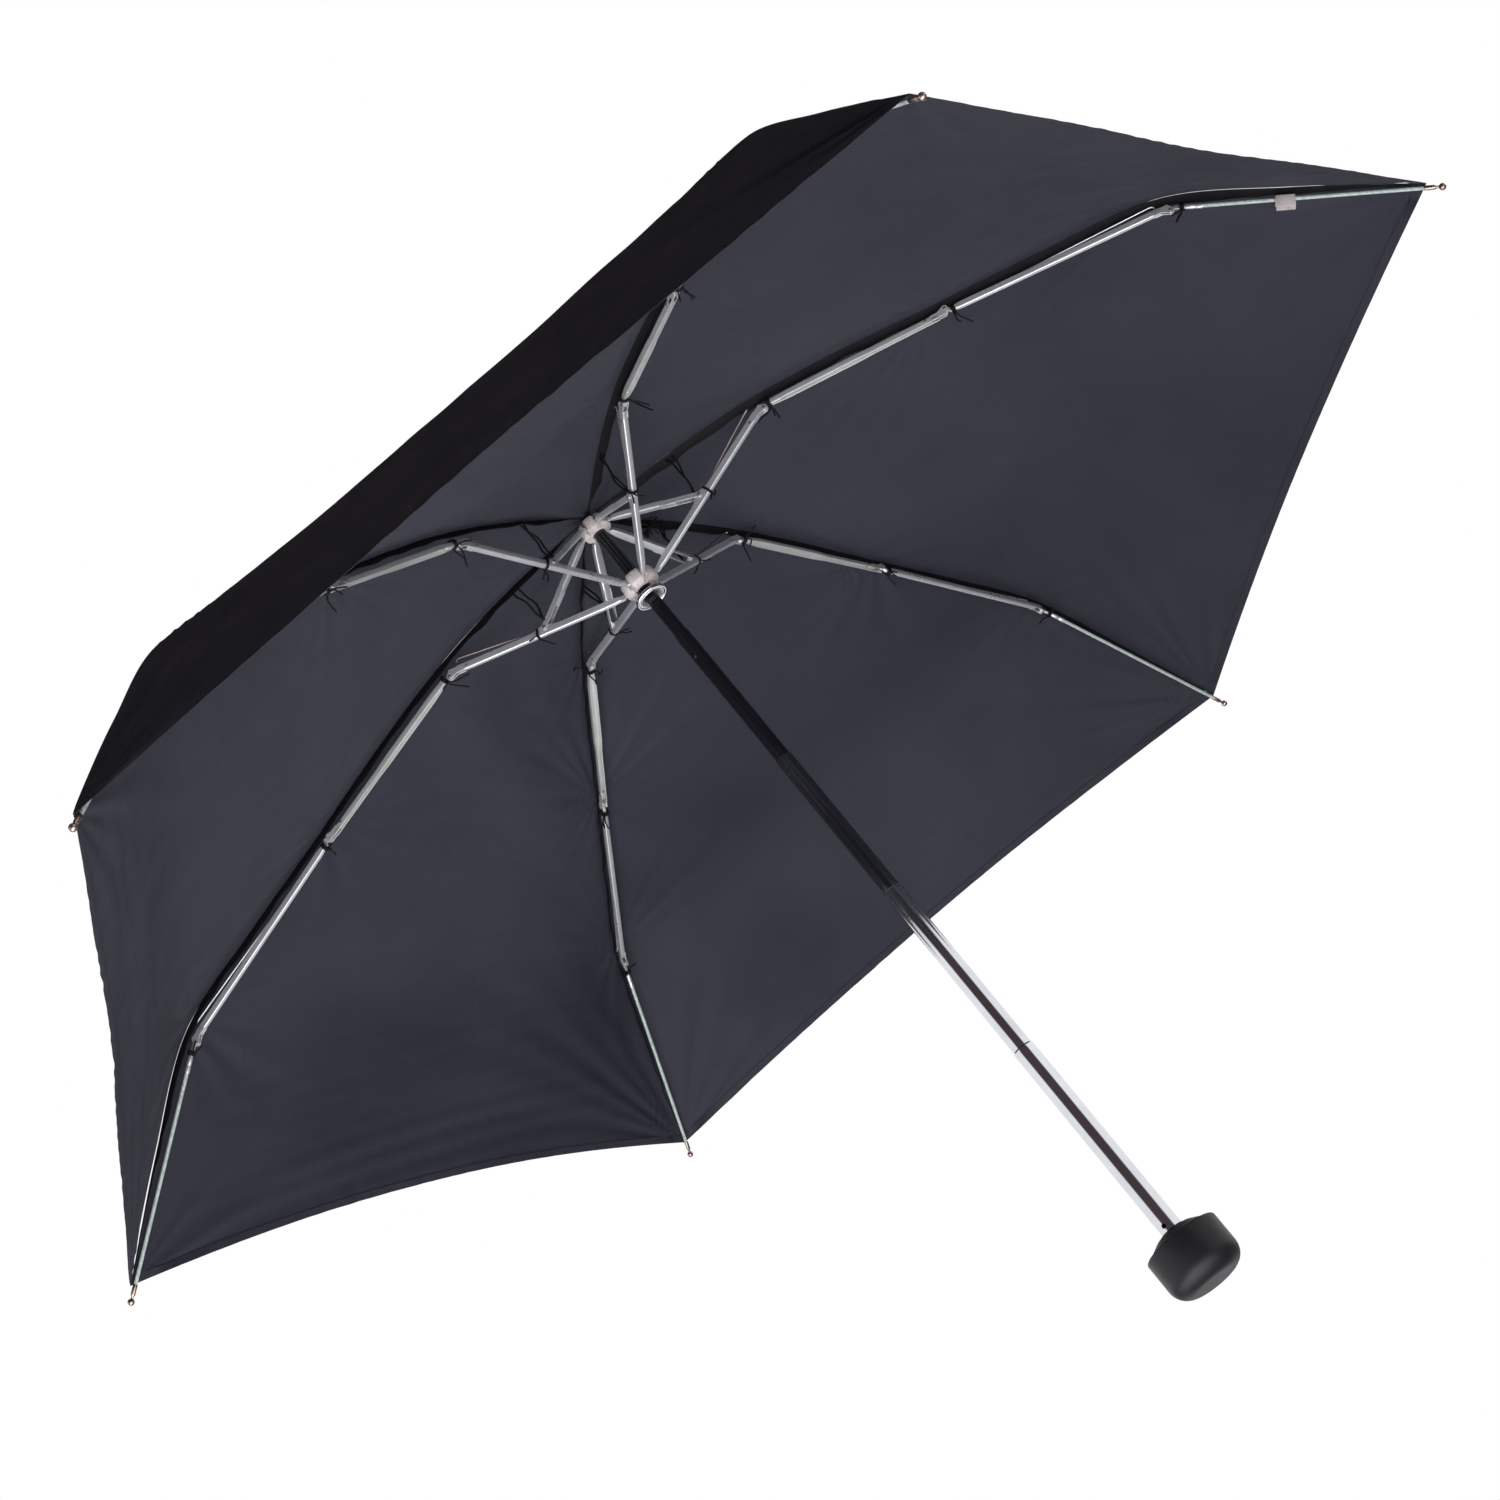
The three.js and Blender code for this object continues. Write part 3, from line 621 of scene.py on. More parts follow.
def ribs():
    """Every rib: seven moving members, each with its rivets and small parts."""
    shapes = {
        "top_link": (top_link_shape(), TOP_LINK, STEEL, "steel"),
        "stretcher": (stretcher_shape(), STRETCHER, STEEL, "steel"),
        "stretcher_wire": (hooked_wire_shape(STRETCHER_WIRE, 1, -1), STRETCHER_WIRE, COPPER, "copper"),
        "rib_section_2": (section_2_shape(), SECTION_2, CHANNEL_GREY, "channel_grey"),
        "rib_section_3": (section_3_shape(), SECTION_3, STEEL, "steel"),
        "section_wire": (hooked_wire_shape(SECTION_WIRE, -1, 1), SECTION_WIRE, STEEL, "steel"),
        "tip_rod": (rod_shape(), TIP_ROD, FIBREGLASS, "fibreglass"),
    }
    knee_1 = Shape().rivet(STRETCHER.long, KNEE_DROP, 1.6).rivet(STRETCHER.long - 11, -1.6, 1.6, 0.8)
    knee_2 = Shape().rivet(SECTION_2.long, KNEE_RISE, 1.7).rivet(SECTION_2.long - 12, 1.9, 1.7, 0.8)
    rivets = {
        "top_link": (Shape().rivet(TOP_LINK.long, 0, 2.3), TOP_LINK),
        "stretcher": (knee_1, STRETCHER),
        "rib_section_2": (knee_2, SECTION_2),
        "rib_section_3": (Shape().rivet(SECTION_3.long, -KNEE_RISE, 1.5), SECTION_3),
    }
    for rib in range(1, RIBS + 1):
        for kind, (shape, member, material, slot) in shapes.items():
            body = f"{kind}_{rib}"
            piece(f"{kind}_{rib}_body", shape, material, body, member.matrix(rib), [body])
        for kind, (shape, member) in rivets.items():
            piece(f"{kind}_{rib}_rivets", shape, RIVET, f"{kind}_{rib}", member.matrix(rib))
        body = f"tip_rod_{rib}"
        piece(f"rod_socket_{rib}", rod_socket_shape(), STEEL, body, TIP_ROD.matrix(rib))
        piece(f"rod_tip_{rib}", rod_tip_shape(), COPPER, body, TIP_ROD.matrix(rib))


# ---------------- shaft, catches and handle

TUBE_WALL = 0.35
TUBE_SIDES = 72
DENT_AZIMUTHS = (math.radians(-45), math.radians(135))
DENTS_BELOW_TOP = (4.5, 9.0)
DENT_DEPTH = 0.32
DENT_SIZE = 0.75
DENTED_TUBES = (2, 3)
HOLE_RADIUS = 1.2
CATCH_RADIUS = 0.95
CATCH_AZIMUTH = math.radians(-58)
HANDLE_HOLE_AZIMUTH = math.radians(-50)
HANDLE_HOLE_HEIGHT = 34.2


def tube_size(index):
    """(outer radius, foot, top) of a shaft tube in millimetres, from the frame."""
    low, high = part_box(f"shaft_tube_{index}")
    return high.x / MM, low.z / MM, high.z / MM


def tube_shape(index, dents=()):
    """A drawn tube with a rolled lip, and round dents pressed in at (azimuth, depth below the top)."""
    radius, foot, top = tube_size(index)
    outer = [(radius - 0.05, foot), (radius, foot + 0.3), (radius, foot + 20)]
    outer += [(radius, top - 14 + 0.35 * i) for i in range(34)]
    outer += [(radius, top - 1.6), (radius - 0.04, top - 0.9), (radius - 0.13, top - 0.3),
              (radius - 0.24, top)]
    inner = [(radius - TUBE_WALL, top - 0.25), (radius - TUBE_WALL, top - 3),
             (radius - TUBE_WALL, foot + 0.2), (radius - TUBE_WALL + 0.08, foot)]
    loops = []
    for r, z in outer + inner:
        loop = []
        for i in range(TUBE_SIDES):
            turn = 2 * math.pi * i / TUBE_SIDES
            sunk = 0.0
            for azimuth, below in dents:
                swing = (turn - azimuth + math.pi) % (2 * math.pi) - math.pi
                away = math.hypot(swing * radius, z - (top - below))
                sunk += DENT_DEPTH * math.exp(-(away / DENT_SIZE) ** 2)
            kept = r - sunk if r > radius - 0.3 else r
            loop.append((kept * math.cos(turn), kept * math.sin(turn), z))
        loops.append(loop)
    return Shape().loft(loops, closed=True)


def carve(thing, cutters, bevel=0.0):
    """Cuts shapes out of an object and rounds the edges that are left."""
    for number, cutter in enumerate(cutters):
        tool = make_object(f"cutter_{number}", cutter, CLEAR_PLASTIC)
        cut = thing.modifiers.new("cut", "BOOLEAN")
        cut.object, cut.operation, cut.solver = tool, "DIFFERENCE", "EXACT"
        settle(thing)
        bpy.data.objects.remove(tool)
    if bevel:
        soften = thing.modifiers.new("bevel", "BEVEL")
        soften.width, soften.segments, soften.limit_method = bevel * MM, 2, "ANGLE"
        soften.angle_limit = math.radians(35)
        settle(thing)
    thing.data.shade_smooth()
    thing.data.set_sharp_from_angle(angle=math.radians(40))
    return thing


def settle(thing):
    """Applies an object's modifiers to its mesh."""
    bpy.context.view_layer.update()
    graph = bpy.context.evaluated_depsgraph_get()
    made = bpy.data.meshes.new_from_object(thing.evaluated_get(graph))
    thing.modifiers.clear()
    thing.data = made


def radial_shape(profile, height, azimuth, sides):
    """A turned shape that points outwards from the shaft; its profile is (radius, distance out)."""
    shape = Shape().lathe(profile, sides, "x")
    turn = Matrix.Rotation(azimuth, 3, "Z")
    shape.verts = [tuple(turn @ Vector(v) + Vector((0, 0, height))) for v in shape.verts]
    return shape


def hole_shape(inner, outer, height, azimuth):
    """The cutter of a round hole through one wall of a tube."""
    profile = [(0, inner), (HOLE_RADIUS, inner), (HOLE_RADIUS, outer), (0, outer)]
    return radial_shape(profile, height, azimuth, 24)


def catch_shape(tube, height):
    """The face of a spring catch, all but flush with its tube so that the next tube slides over it."""
    face = CATCH_RADIUS
    profile = [(0, tube - 0.3), (face * 0.8, tube - 0.3), (face, tube - 0.1), (face, tube + 0.02),
               (face * 0.88, tube + 0.04), (face * 0.6, tube + 0.05), (0, tube + 0.05)]
    return radial_shape(profile, height, CATCH_AZIMUTH, 28)


def shaft():
    """Five telescoping tubes, from gloss black at the crown to chrome at the handle."""
    looks = [(BLACK_TUBE, "black_tube", "crown"), (BLACK_TUBE, "black_tube", "tube_2"),
             (DARK_CHROME, "dark_chrome", "tube_3"), (CHROME, "chrome", "tube_4"),
             (CHROME, "chrome", "handle")]
    catches = {2: "upper_catch", 4: "lower_catch"}
    for index, (material, slot, body) in enumerate(looks, start=1):
        node = f"shaft_tube_{index}"
        radius = tube_size(index)[0]
        dents = []
        if index in DENTED_TUBES:
            dents = [(azimuth, below) for azimuth in DENT_AZIMUTHS for below in DENTS_BELOW_TOP]
        tube = make_object(f"{node}_tube", tube_shape(index, dents), material)
        holes = []
        if index in catches:
            catch = catches[index]
            low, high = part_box(catch)
            height = (low.z + high.z) / 2 / MM
            holes.append(hole_shape(radius - 1.2, radius + 1, height, CATCH_AZIMUTH))
            piece(f"{catch}_button", catch_shape(radius, height), RIVET, catch,
                  stands_for=[catch])
        if index == len(looks):
            holes.append(hole_shape(radius - 1.5, radius + 1, HANDLE_HOLE_HEIGHT, HANDLE_HOLE_AZIMUTH))
        if holes:
            carve(tube, holes)
        enter(tube, body, [node])


def handle():
    """The knob: a soft-touch shell with a big rounded foot, round a hard plastic core."""
    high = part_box("handle_grip")[1]
    radius, top = high.x / MM, high.z / MM
    corner, shoulder, neck = 9.5, top - 4.5, 7.9
    profile = [(0, 0), (radius - corner - 1.5, 0)]
    profile += lobe((radius - corner, corner), corner, -90, 0, 14)
    profile += lobe((radius - 0.9, shoulder - 0.9), 0.9, 0, 66, 6)
    profile += [(radius - 3, shoulder + 0.62), (radius - 7, top - 1.55), (neck + 2.4, top - 0.12)]
    profile += lobe((neck + 0.9, top - 0.6), 0.6, 75, 180, 5)
    profile += [(neck + 0.3, top - 2), (neck + 0.3, top - 5.7), (12.3, top - 5.7), (12.3, 4.0), (0, 4.0)]
    piece("knob_shell", Shape().lathe(profile, 128), SOFT_BLACK, "handle",
          stands_for=["handle_grip"], sharp=50)
    bore = tube_size(5)[0] + 0.25
    core = [(0, 4.3), (11.7, 4.3), (12, 4.6), (12, 23.7), (11.7, 24), (7.6, 24), (7.6, 30.5), (7.3, 31),
            (bore + 0.3, 31), (bore, 30.7), (bore, 6.8), (0, 6.8)]
    piece("knob_core", Shape().lathe(core, 72), BLACK_PLASTIC, "handle",
          stands_for=["handle_core"])


# ---------------- crown, runner and clip

HINGE_WIRE = 0.45
HINGE_GROOVE = 0.6
HUB_BEVEL = 0.22
SLOT_HALF = 1.35
CAP_FOOT = 519
CAP_RIM = 532


def box_shape(low, high, turn):
    """A box cutter, turned about the shaft."""
    rotate = Matrix.Rotation(turn, 3, "Z")
    corners = [(x, y, z) for z in (low[2], high[2]) for x, y in
               ((low[0], low[1]), (high[0], low[1]), (high[0], high[1]), (low[0], high[1]))]
    loops = [[tuple(rotate @ Vector(c)) for c in corners[i:i + 4]] for i in (0, 4)]
    return Shape().loft(loops)


def ring_shape(radius, thick, height, sides=96, around=14):
    """A wire ring about the shaft."""
    loops = []
    for i in range(sides):
        turn = 2 * math.pi * i / sides
        loops.append([((radius + thick * math.cos(t)) * math.cos(turn),
                       (radius + thick * math.cos(t)) * math.sin(turn), height + thick * math.sin(t))
                      for t in (2 * math.pi * k / around for k in range(around))])
    return Shape().loft(loops, closed=True)


def notched_hub(body, profile, pivot, slot, cuts=()):
    """A hub with its hinge wire and a slot for each rib's tongue; slot is (inner, outer, low, high)."""
    away, middle = pivot / MM
    inner, outer, low, high = slot
    hub = make_object(f"{body}_hub_body", Shape().lathe(profile, 96), CLEAR_PLASTIC)
    slots = [box_shape((inner, -SLOT_HALF, low), (outer, SLOT_HALF, high), rib * RIB_STEP)
             for rib in range(RIBS)]
    carve(hub, slots + [ring_shape(away, HINGE_GROOVE, middle), *cuts], HUB_BEVEL)
    enter(hub, body, [f"{body}_hub"])
    piece(f"{body}_hinge_wire", ring_shape(away, HINGE_WIRE, middle), STEEL, body,
          stands_for=[f"{body}_wire"])


def crown():
    """Crown hub, its hinge wire and the cap over the cloth."""
    middle = CROWN_HINGE[1] / MM
    bottom, top = middle - 4.7, middle + 4.5
    profile = [(3.95, bottom + 0.2), (4.15, bottom), (5.3, bottom), (8.1, bottom + 1.5),
               (8.3, bottom + 1.9), (8.3, top - 1.2), (7.9, top - 0.4), (7.2, top), (4.15, top),
               (3.95, top - 0.2), (3.95, bottom + 0.2)]
    notched_hub("crown", profile, CROWN_HINGE, (5.6, 10, bottom - 1, top + 1))
    dome = [(9.2, 0), (9.5, 0.3), (9.5, 1.2), (9.3, 1.7), (8.4, 3.0), (7.2, 4.0), (5.6, 4.8), (4.6, 5.3),
            (4.0, 6.0), (3.7, 7.2), (3.2, 8.3), (2.3, 8.95), (1.2, 9.18), (0, 9.2)]
    cap = [(0, CAP_FOOT), (2.7, CAP_FOOT), (3.05, CAP_FOOT + 0.5), (3.05, CAP_RIM)]
    cap += [(r, CAP_RIM + z) for r, z in dome]
    piece("crown_cap_body", Shape().lathe(cap, 72), BLACK_PLASTIC, "crown",
          stands_for=["crown_cap"])


def runner():
    """Runner: a notched hub, two thin arms down past the windows, and a bright ring round its foot."""
    middle, foot = RUNNER_HINGE[1] / MM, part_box("runner_hub")[0].z / MM
    bore = 6.1
    profile = [(bore, foot + 0.2), (bore + 0.2, foot), (7.7, foot), (7.9, foot + 0.2), (7.9, foot + 1.4),
               (7.7, foot + 1.6), (7.3, foot + 1.8), (7.3, middle - 5), (9.2, middle - 4),
               (10.2, middle - 2.7), (10.4, middle - 2.2), (10.4, middle + 2.8), (10.1, middle + 3.6),
               (9.4, middle + 4.3), (8.9, middle + 4.4), (bore + 0.2, middle + 4.4), (bore, middle + 4.2),
               (bore, foot + 0.2)]
    windows = box_shape((-9, -4.6, foot + 2.4), (9, 4.6, middle - 5.6), -RIB_STEP / 2)
    notched_hub("runner", profile, RUNNER_HINGE, (7.1, 13, middle - 6, middle + 6), [windows])
    low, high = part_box("runner_ring")
    bottom, top, outer = low.z / MM, high.z / MM, high.x / MM
    inner = outer - 1.0
    rim = [(inner, bottom + 0.3), (inner + 0.25, bottom), (outer - 0.25, bottom), (outer, bottom + 0.3),
           (outer, top - 0.3), (outer - 0.25, top), (inner + 0.25, top), (inner, top - 0.3),
           (inner, bottom + 0.3)]
    piece("runner_foot_ring", Shape().lathe(rim, 96), CHROME, "runner",
          stands_for=["runner_ring"])
    piece("runner_inner_bead", ring_shape(6.75, 0.4, foot), CHROME, "runner")


def rod_clip():
    """The small clear clip on the second rib's rod: a saddle with the rod through its top."""
    low, high, half, foot = 55, 65, 2.45, -3.7
    head, wall = ROD_LIFT + 1.8, 0.55
    outline = [(-half, foot), (-half, head - 0.6), (-half + 0.6, head), (half - 0.6, head),
               (half, head - 0.6), (half, foot), (half - wall, foot), (half - wall, -0.4),
               (-half + wall, -0.4), (-half + wall, foot)]
    loops = [[(x, y, z) for y, z in outline] for x in (low, (low + high) / 2, high)]
    place = TIP_ROD.matrix(2)
    clip = make_object("rod_clip_body", Shape().loft(loops), CLEAR_PLASTIC, place)
    bore = Shape().lathe([(0, low - 2), (1.15, low - 2), (1.15, high + 2), (0, high + 2)], 20, "x",
                         (0, 0, ROD_LIFT))
    bore.verts = [tuple(place @ (Vector(v) * MM) / MM) for v in bore.verts]
    carve(clip, [bore], 0.15)
    enter(clip, "tip_rod_2", ["rod_clip"])


# ---------------- canopy

# The cloth's line over a rib, (distance from the shaft, height) in millimetres, as the CAD has it.
CLOTH_LINE = [(6.5, 531.6), (60, 529), (110, 522.2), (164, 508.5), (218.4, 491.6), (280, 473.5),
              (340, 452.8), (392, 407.5), (441, 359.2)]
GORE_SAG = 5.0
HALVINGS = 40
# How far each gore's hem dips inwards at its middle, as a share of the cloth's length.
HEM_DIPS = [0.016, 0.012, 0.018, 0.034, 0.026, 0.020]
HALF_COLUMNS = 60
BAND_ROWS = [28, 34, 36, 46]
HEM_TURN = 5.0
SLICES = 4
BAND_BODIES = ["rib_section_2", "rib_section_3", "tip_rod"]
KNEES = [(KNEE_1, SECTION_2), (KNEE_2, SECTION_3), (KNEE_3, TIP_ROD)]


def smooth_line(points, steps=60):
    """A smooth line through the points, sampled finely: (length so far, points)."""
    p = np.array(points, float)
    gaps = np.linalg.norm(np.diff(p, axis=0), axis=1)
    knots = np.concatenate([[0], np.cumsum(np.sqrt(gaps))])
    slopes = np.gradient(p, knots, axis=0)
    t = np.linspace(0, knots[-1], steps * (len(p) - 1) + 1)
    i = np.clip(np.searchsorted(knots, t, side="right") - 1, 0, len(p) - 2)
    wide = (knots[i + 1] - knots[i])[:, None]
    u = (t - knots[i])[:, None] / wide
    line = (1 + 2 * u) * (1 - u) ** 2 * p[i] + u * (1 - u) ** 2 * wide * slopes[i]
    line += u * u * (3 - 2 * u) * p[i + 1] + u * u * (u - 1) * wide * slopes[i + 1]
    steps_long = np.linalg.norm(np.diff(line, axis=0), axis=1)
    return np.concatenate([[0], np.cumsum(steps_long)]), line


LINE_LENGTHS, LINE = smooth_line(CLOTH_LINE)
CLOTH_LONG = LINE_LENGTHS[-1]


def line_at(share):
    """Points (distance from the shaft, height) of the cloth's line, at shares of its length."""
    return np.stack([np.interp(share * CLOTH_LONG, LINE_LENGTHS, LINE[:, k]) for k in (0, 1)], -1)


def gore_surface(gore, s, t):
    """Points of a gore without its folds: s runs from the crown to the hem, t from rib to rib."""
    bulge = 4 * t * (1 - t)
    along = s * (1 - HEM_DIPS[gore] * bulge * s * s)
    point = line_at(along)
    step = line_at(np.minimum(along + 0.003, 1)) - line_at(np.maximum(along - 0.003, 0))
    step /= np.linalg.norm(step, axis=-1, keepdims=True)
    sag = GORE_SAG * bulge * np.sin(math.pi * s)
    left, middle, right = (gore * RIB_STEP, (gore + 0.5) * RIB_STEP, (gore + 1) * RIB_STEP)
    x = point[..., 0] * ((1 - t) * math.cos(left) + t * math.cos(right))
    y = point[..., 0] * ((1 - t) * math.sin(left) + t * math.sin(right))
    x += sag * step[..., 1] * math.cos(middle)
    y += sag * step[..., 1] * math.sin(middle)
    return np.stack([x, y, point[..., 1] - sag * step[..., 0]], -1)


def cut_share(gore, knee, member, t):
    """Where each column meets the plane through a knee, square to the member outside it."""
    rib = np.where(t <= 0.5, gore, gore + 1) * RIB_STEP
    along = member.along
    normal = np.stack([along[0] * np.cos(rib), along[0] * np.sin(rib), np.full_like(rib, along[1])], -1)
    offset = float(knee @ along) / MM
    low, high = np.zeros_like(t), np.ones_like(t)
    for _ in range(HALVINGS):
        middle = (low + high) / 2
        beyond = np.sum(gore_surface(gore, middle, t) * normal, -1) > offset
        low, high = np.where(beyond, low, middle), np.where(beyond, middle, high)
    return (low + high) / 2


def waves(value, seed, count=6):
    """A smooth wandering wave of about one unit's length, between -1 and 1."""
    rng = np.random.default_rng(seed)
    total = np.zeros_like(value)
    for turn, shift in zip(rng.uniform(0.45, 1.35, count), rng.uniform(0, 2 * math.pi, count)):
        total += np.sin(2 * math.pi * turn * value + shift)
    return total / count ** 0.5 / 1.5


# Folds that fan out from each knee and tip: (share of the cloth's length, height, reach, how many).
FANS = [(0.225, 0.8, 26, 7), (0.445, 1.4, 46, 8), (0.705, 1.4, 50, 8), (1.0, 1.9, 85, 9)]
# How strongly each gore is creased, the fourth one most.
SLACK = [0.8, 0.8, 0.9, 1.25, 1.0, 0.9]
# The other folds' heights.
BROAD_FOLD = 1.3
FINE_FOLD = 0.35
SEAM_PUCKER = 0.20
HEM_SCALLOP = 0.3
HEM_BILLOW = 1.8


def folds(gore, s, t):
    """The height of the cloth's folds, in millimetres outwards."""
    x = s * CLOTH_LONG
    wide = line_at(s)[..., 0]
    middle = 4 * t * (1 - t)
    height = BROAD_FOLD * waves(x / 95 + 1.7 * t, gore) * middle
    fine = waves(x / 31 - 2.3 * t, gore + 20) * waves(wide * t / 38, gore + 40)
    height += FINE_FOLD * fine * np.sqrt(middle)
    for side in (0, 1):
        off = wide * np.where(side, 1 - t, t)
        for number, (share, tall, reach, count) in enumerate(FANS):
            dx = x - share * CLOTH_LONG
            away = np.hypot(dx, off)
            angle = np.arctan2(off, dx) / math.pi
            seed = 100 * gore + 10 * number + side
            fade = np.exp(-away / reach) * away / (away + 7)
            height += tall * fade * waves(angle * count, seed)
        pucker = waves(x / 9, 500 + gore + side) * (off / (off + 1.5))
        height += SEAM_PUCKER * np.exp(-off / 8) * pucker
    hem = (1 - s) * CLOTH_LONG
    scallop = SLACK[gore] * np.exp(-hem / 16) * waves(wide * t / 15, 300 + gore)
    billow = (SLACK[gore] - 0.8) * np.exp(-hem / 70) * waves(hem / 17 + 1.2 * t, 400 + gore)
    height += (HEM_SCALLOP * scallop + HEM_BILLOW * billow) * middle
    return height * SLACK[gore] ** 0.5


def cells(rows, columns):
    """The slices of a gore's grid between two rows and two columns, both ends in."""
    return slice(rows[0], rows[1] + 1), slice(columns[0], columns[1] + 1)


class Gore:
    """One of the six panels: grids of points, outward normals and flat coordinates, and its bands' rows."""

    def __init__(self, number):
        t = np.linspace(0, 1, 2 * HALF_COLUMNS + 1)
        cuts = [np.zeros_like(t)] + [cut_share(number, knee, member, t) for knee, member in KNEES]
        cuts.append(np.ones_like(t))
        rows = [cuts[0][None]]
        self.starts = [0]
        for count, low, high in zip(BAND_ROWS, cuts, cuts[1:]):
            part = np.linspace(0, 1, count + 1)[1:, None]
            rows.append(low + (high - low) * part)
            self.starts.append(self.starts[-1] + count)
        s = np.vstack(rows)
        # The hem's turned edge: (share of the length, how far inside).
        turned = [(1.0, 0.12), (1 - 0.3 / CLOTH_LONG, 0.42), (1 - HEM_TURN / CLOTH_LONG, 0.5)]
        inset = np.zeros(len(s))
        for share, inside in turned:
            s = np.vstack([s, np.full_like(t, share)[None]])
            inset = np.append(inset, inside)
        t = np.broadcast_to(t, s.shape)
        self.plain = gore_surface(number, s, t)
        body = self.starts[-1] + 1
        normals = self.normals_of(self.plain[:body])
        normals = np.concatenate([normals, np.repeat(normals[-1:], len(turned), axis=0)])
        self.points = self.plain + normals * (folds(number, s, t) - inset[:, None])[..., None]
        shading = self.normals_of(self.points[:body])
        self.normals = np.concatenate([shading, np.repeat(-shading[-1:], len(turned), axis=0)])
        self.flat = np.stack([(t - 0.5) * line_at(s)[..., 0], s * CLOTH_LONG], -1)

    @staticmethod
    def normals_of(points):
        across = np.cross(np.gradient(points, axis=0), np.gradient(points, axis=1))
        return across / np.maximum(np.linalg.norm(across, axis=-1, keepdims=True), 1e-9)


def cloth_piece(name, gore, rows, columns):
    """A piece of a gore's grid as a sheet of cloth, with flat coordinates and the gore's own normals."""
    part = cells(rows, columns)
    points, normals, flat = gore.points[part], gore.normals[part], gore.flat[part]
    down, across = points.shape[:2]
    index = np.arange(down * across).reshape(down, across)
    quads = np.stack([index[:-1, :-1], index[1:, :-1], index[1:, 1:], index[:-1, 1:]], -1).reshape(-1, 4)
    mesh = bpy.data.meshes.new(name)
    mesh.from_pydata((points.reshape(-1, 3) * MM).tolist(), [], quads.tolist())
    layer = mesh.uv_layers.new(name="flat")
    loops = quads.reshape(-1)
    layer.data.foreach_set("uv", (flat.reshape(-1, 2)[loops] * MM).astype(np.float32).ravel())
    mesh.materials.append(CLOTH)
    mesh.shade_smooth()
    mesh.normals_split_custom_set_from_vertices(normals.reshape(-1, 3).tolist())
    return link(name, mesh)


def flat_size(gore, rows, columns):
    """(width, length) and area of a piece's cut, in metres and square metres, before it was creased."""
    grid = gore.plain[cells(rows, columns)] * MM
    length = np.linalg.norm(np.diff(grid, axis=0), axis=-1).sum(0).max()
    width = np.linalg.norm(np.diff(grid, axis=1), axis=-1).sum(1).max()
    cross = np.cross(grid[1:, 1:] - grid[:-1, :-1], grid[1:, :-1] - grid[:-1, 1:])
    area = np.linalg.norm(cross, axis=-1).sum() / 2
    return (float(width), float(length)), float(min(area, width * length))


def hang_cloth(name, gore, rows, columns, body):
    """A piece of a gore, entered on its body in place of the canopy."""
    thing = enter(cloth_piece(name, gore, rows, columns), body, ["canopy"])
    flat, area = flat_size(gore, rows, columns)
    return thing


def gather(thing):
    """Gives a piece a mesh of its own."""
    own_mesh(thing)


def crown_slices(number, gore):
    """The part of a gore over the crown, in narrow slices."""
    rows = (gore.starts[0], gore.starts[1])
    wide = 2 * HALF_COLUMNS // SLICES
    for k in range(SLICES):
        columns = (k * wide, (k + 1) * wide)
        name = f"canopy_crown_{number * SLICES + k + 1}"
        thing = hang_cloth(name, gore, rows, columns, "crown")
        gather(thing)


def canopy(flaps):
    """The whole canopy: over the crown in slices, then in half panels along each member.

    A half panel rides the member under it.
    """
    for number in range(RIBS):
        gore = Gore(number)
        crown_slices(number, gore)
        for side in (0, 1):
            rib = (number + side) % RIBS + 1
            columns = (side * HALF_COLUMNS, (side + 1) * HALF_COLUMNS)
            for band, kind in enumerate(BAND_BODIES):
                last = len(gore.points) - 1 if band == 2 else gore.starts[band + 2]
                rows = (gore.starts[band + 1], last)
                name, body = f"canopy_{kind}_{rib}_{'ab'[side]}", f"{kind}_{rib}"
                thing = hang_cloth(name, gore, rows, columns, body)
                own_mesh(thing)


SEAM_DROP = 4.6
SEAM_LEAN = 2.0
SEAM_END = 0.985
SEAM_STEP = 2.5


def seam_shape(rib, low, high):
    """A length of folded seam between two shares of the cloth's length, and its top line."""
    s = np.linspace(low, high, int((high - low) * CLOTH_LONG / SEAM_STEP))
    top = line_at(s)
    slope = line_at(np.minimum(s + 0.004, 1)) - line_at(np.maximum(s - 0.004, 0))
    slope /= np.linalg.norm(slope, axis=-1, keepdims=True)
    drop = SEAM_DROP + 0.6 * waves(s * 16, 700 + rib)
    drop = drop * np.clip((s - 0.01) / 0.05, 0.1, 1) * np.clip((1.0 - s) / 0.22, 0.22, 1)
    lean = SEAM_LEAN + 0.7 * waves(s * 22, 720 + rib)
    lean = lean * np.clip(s / 0.06, 0.1, 1) * np.clip((1.0 - s) / 0.1, 0.3, 1)
    loops = []
    for (r, z), (run, fall), d, y in zip(top, slope, drop, lean):
        outline = [(0.35, 0.15), (y * 0.7 + 0.3, d * 0.5), (y + 0.25, d), (y - 0.25, d),
                   (y * 0.7 - 0.3, d * 0.5), (-0.35, 0.15)]
        loops.append([(r + fall * depth, across, z - run * depth) for across, depth in outline])
    return Shape().loft(loops), top


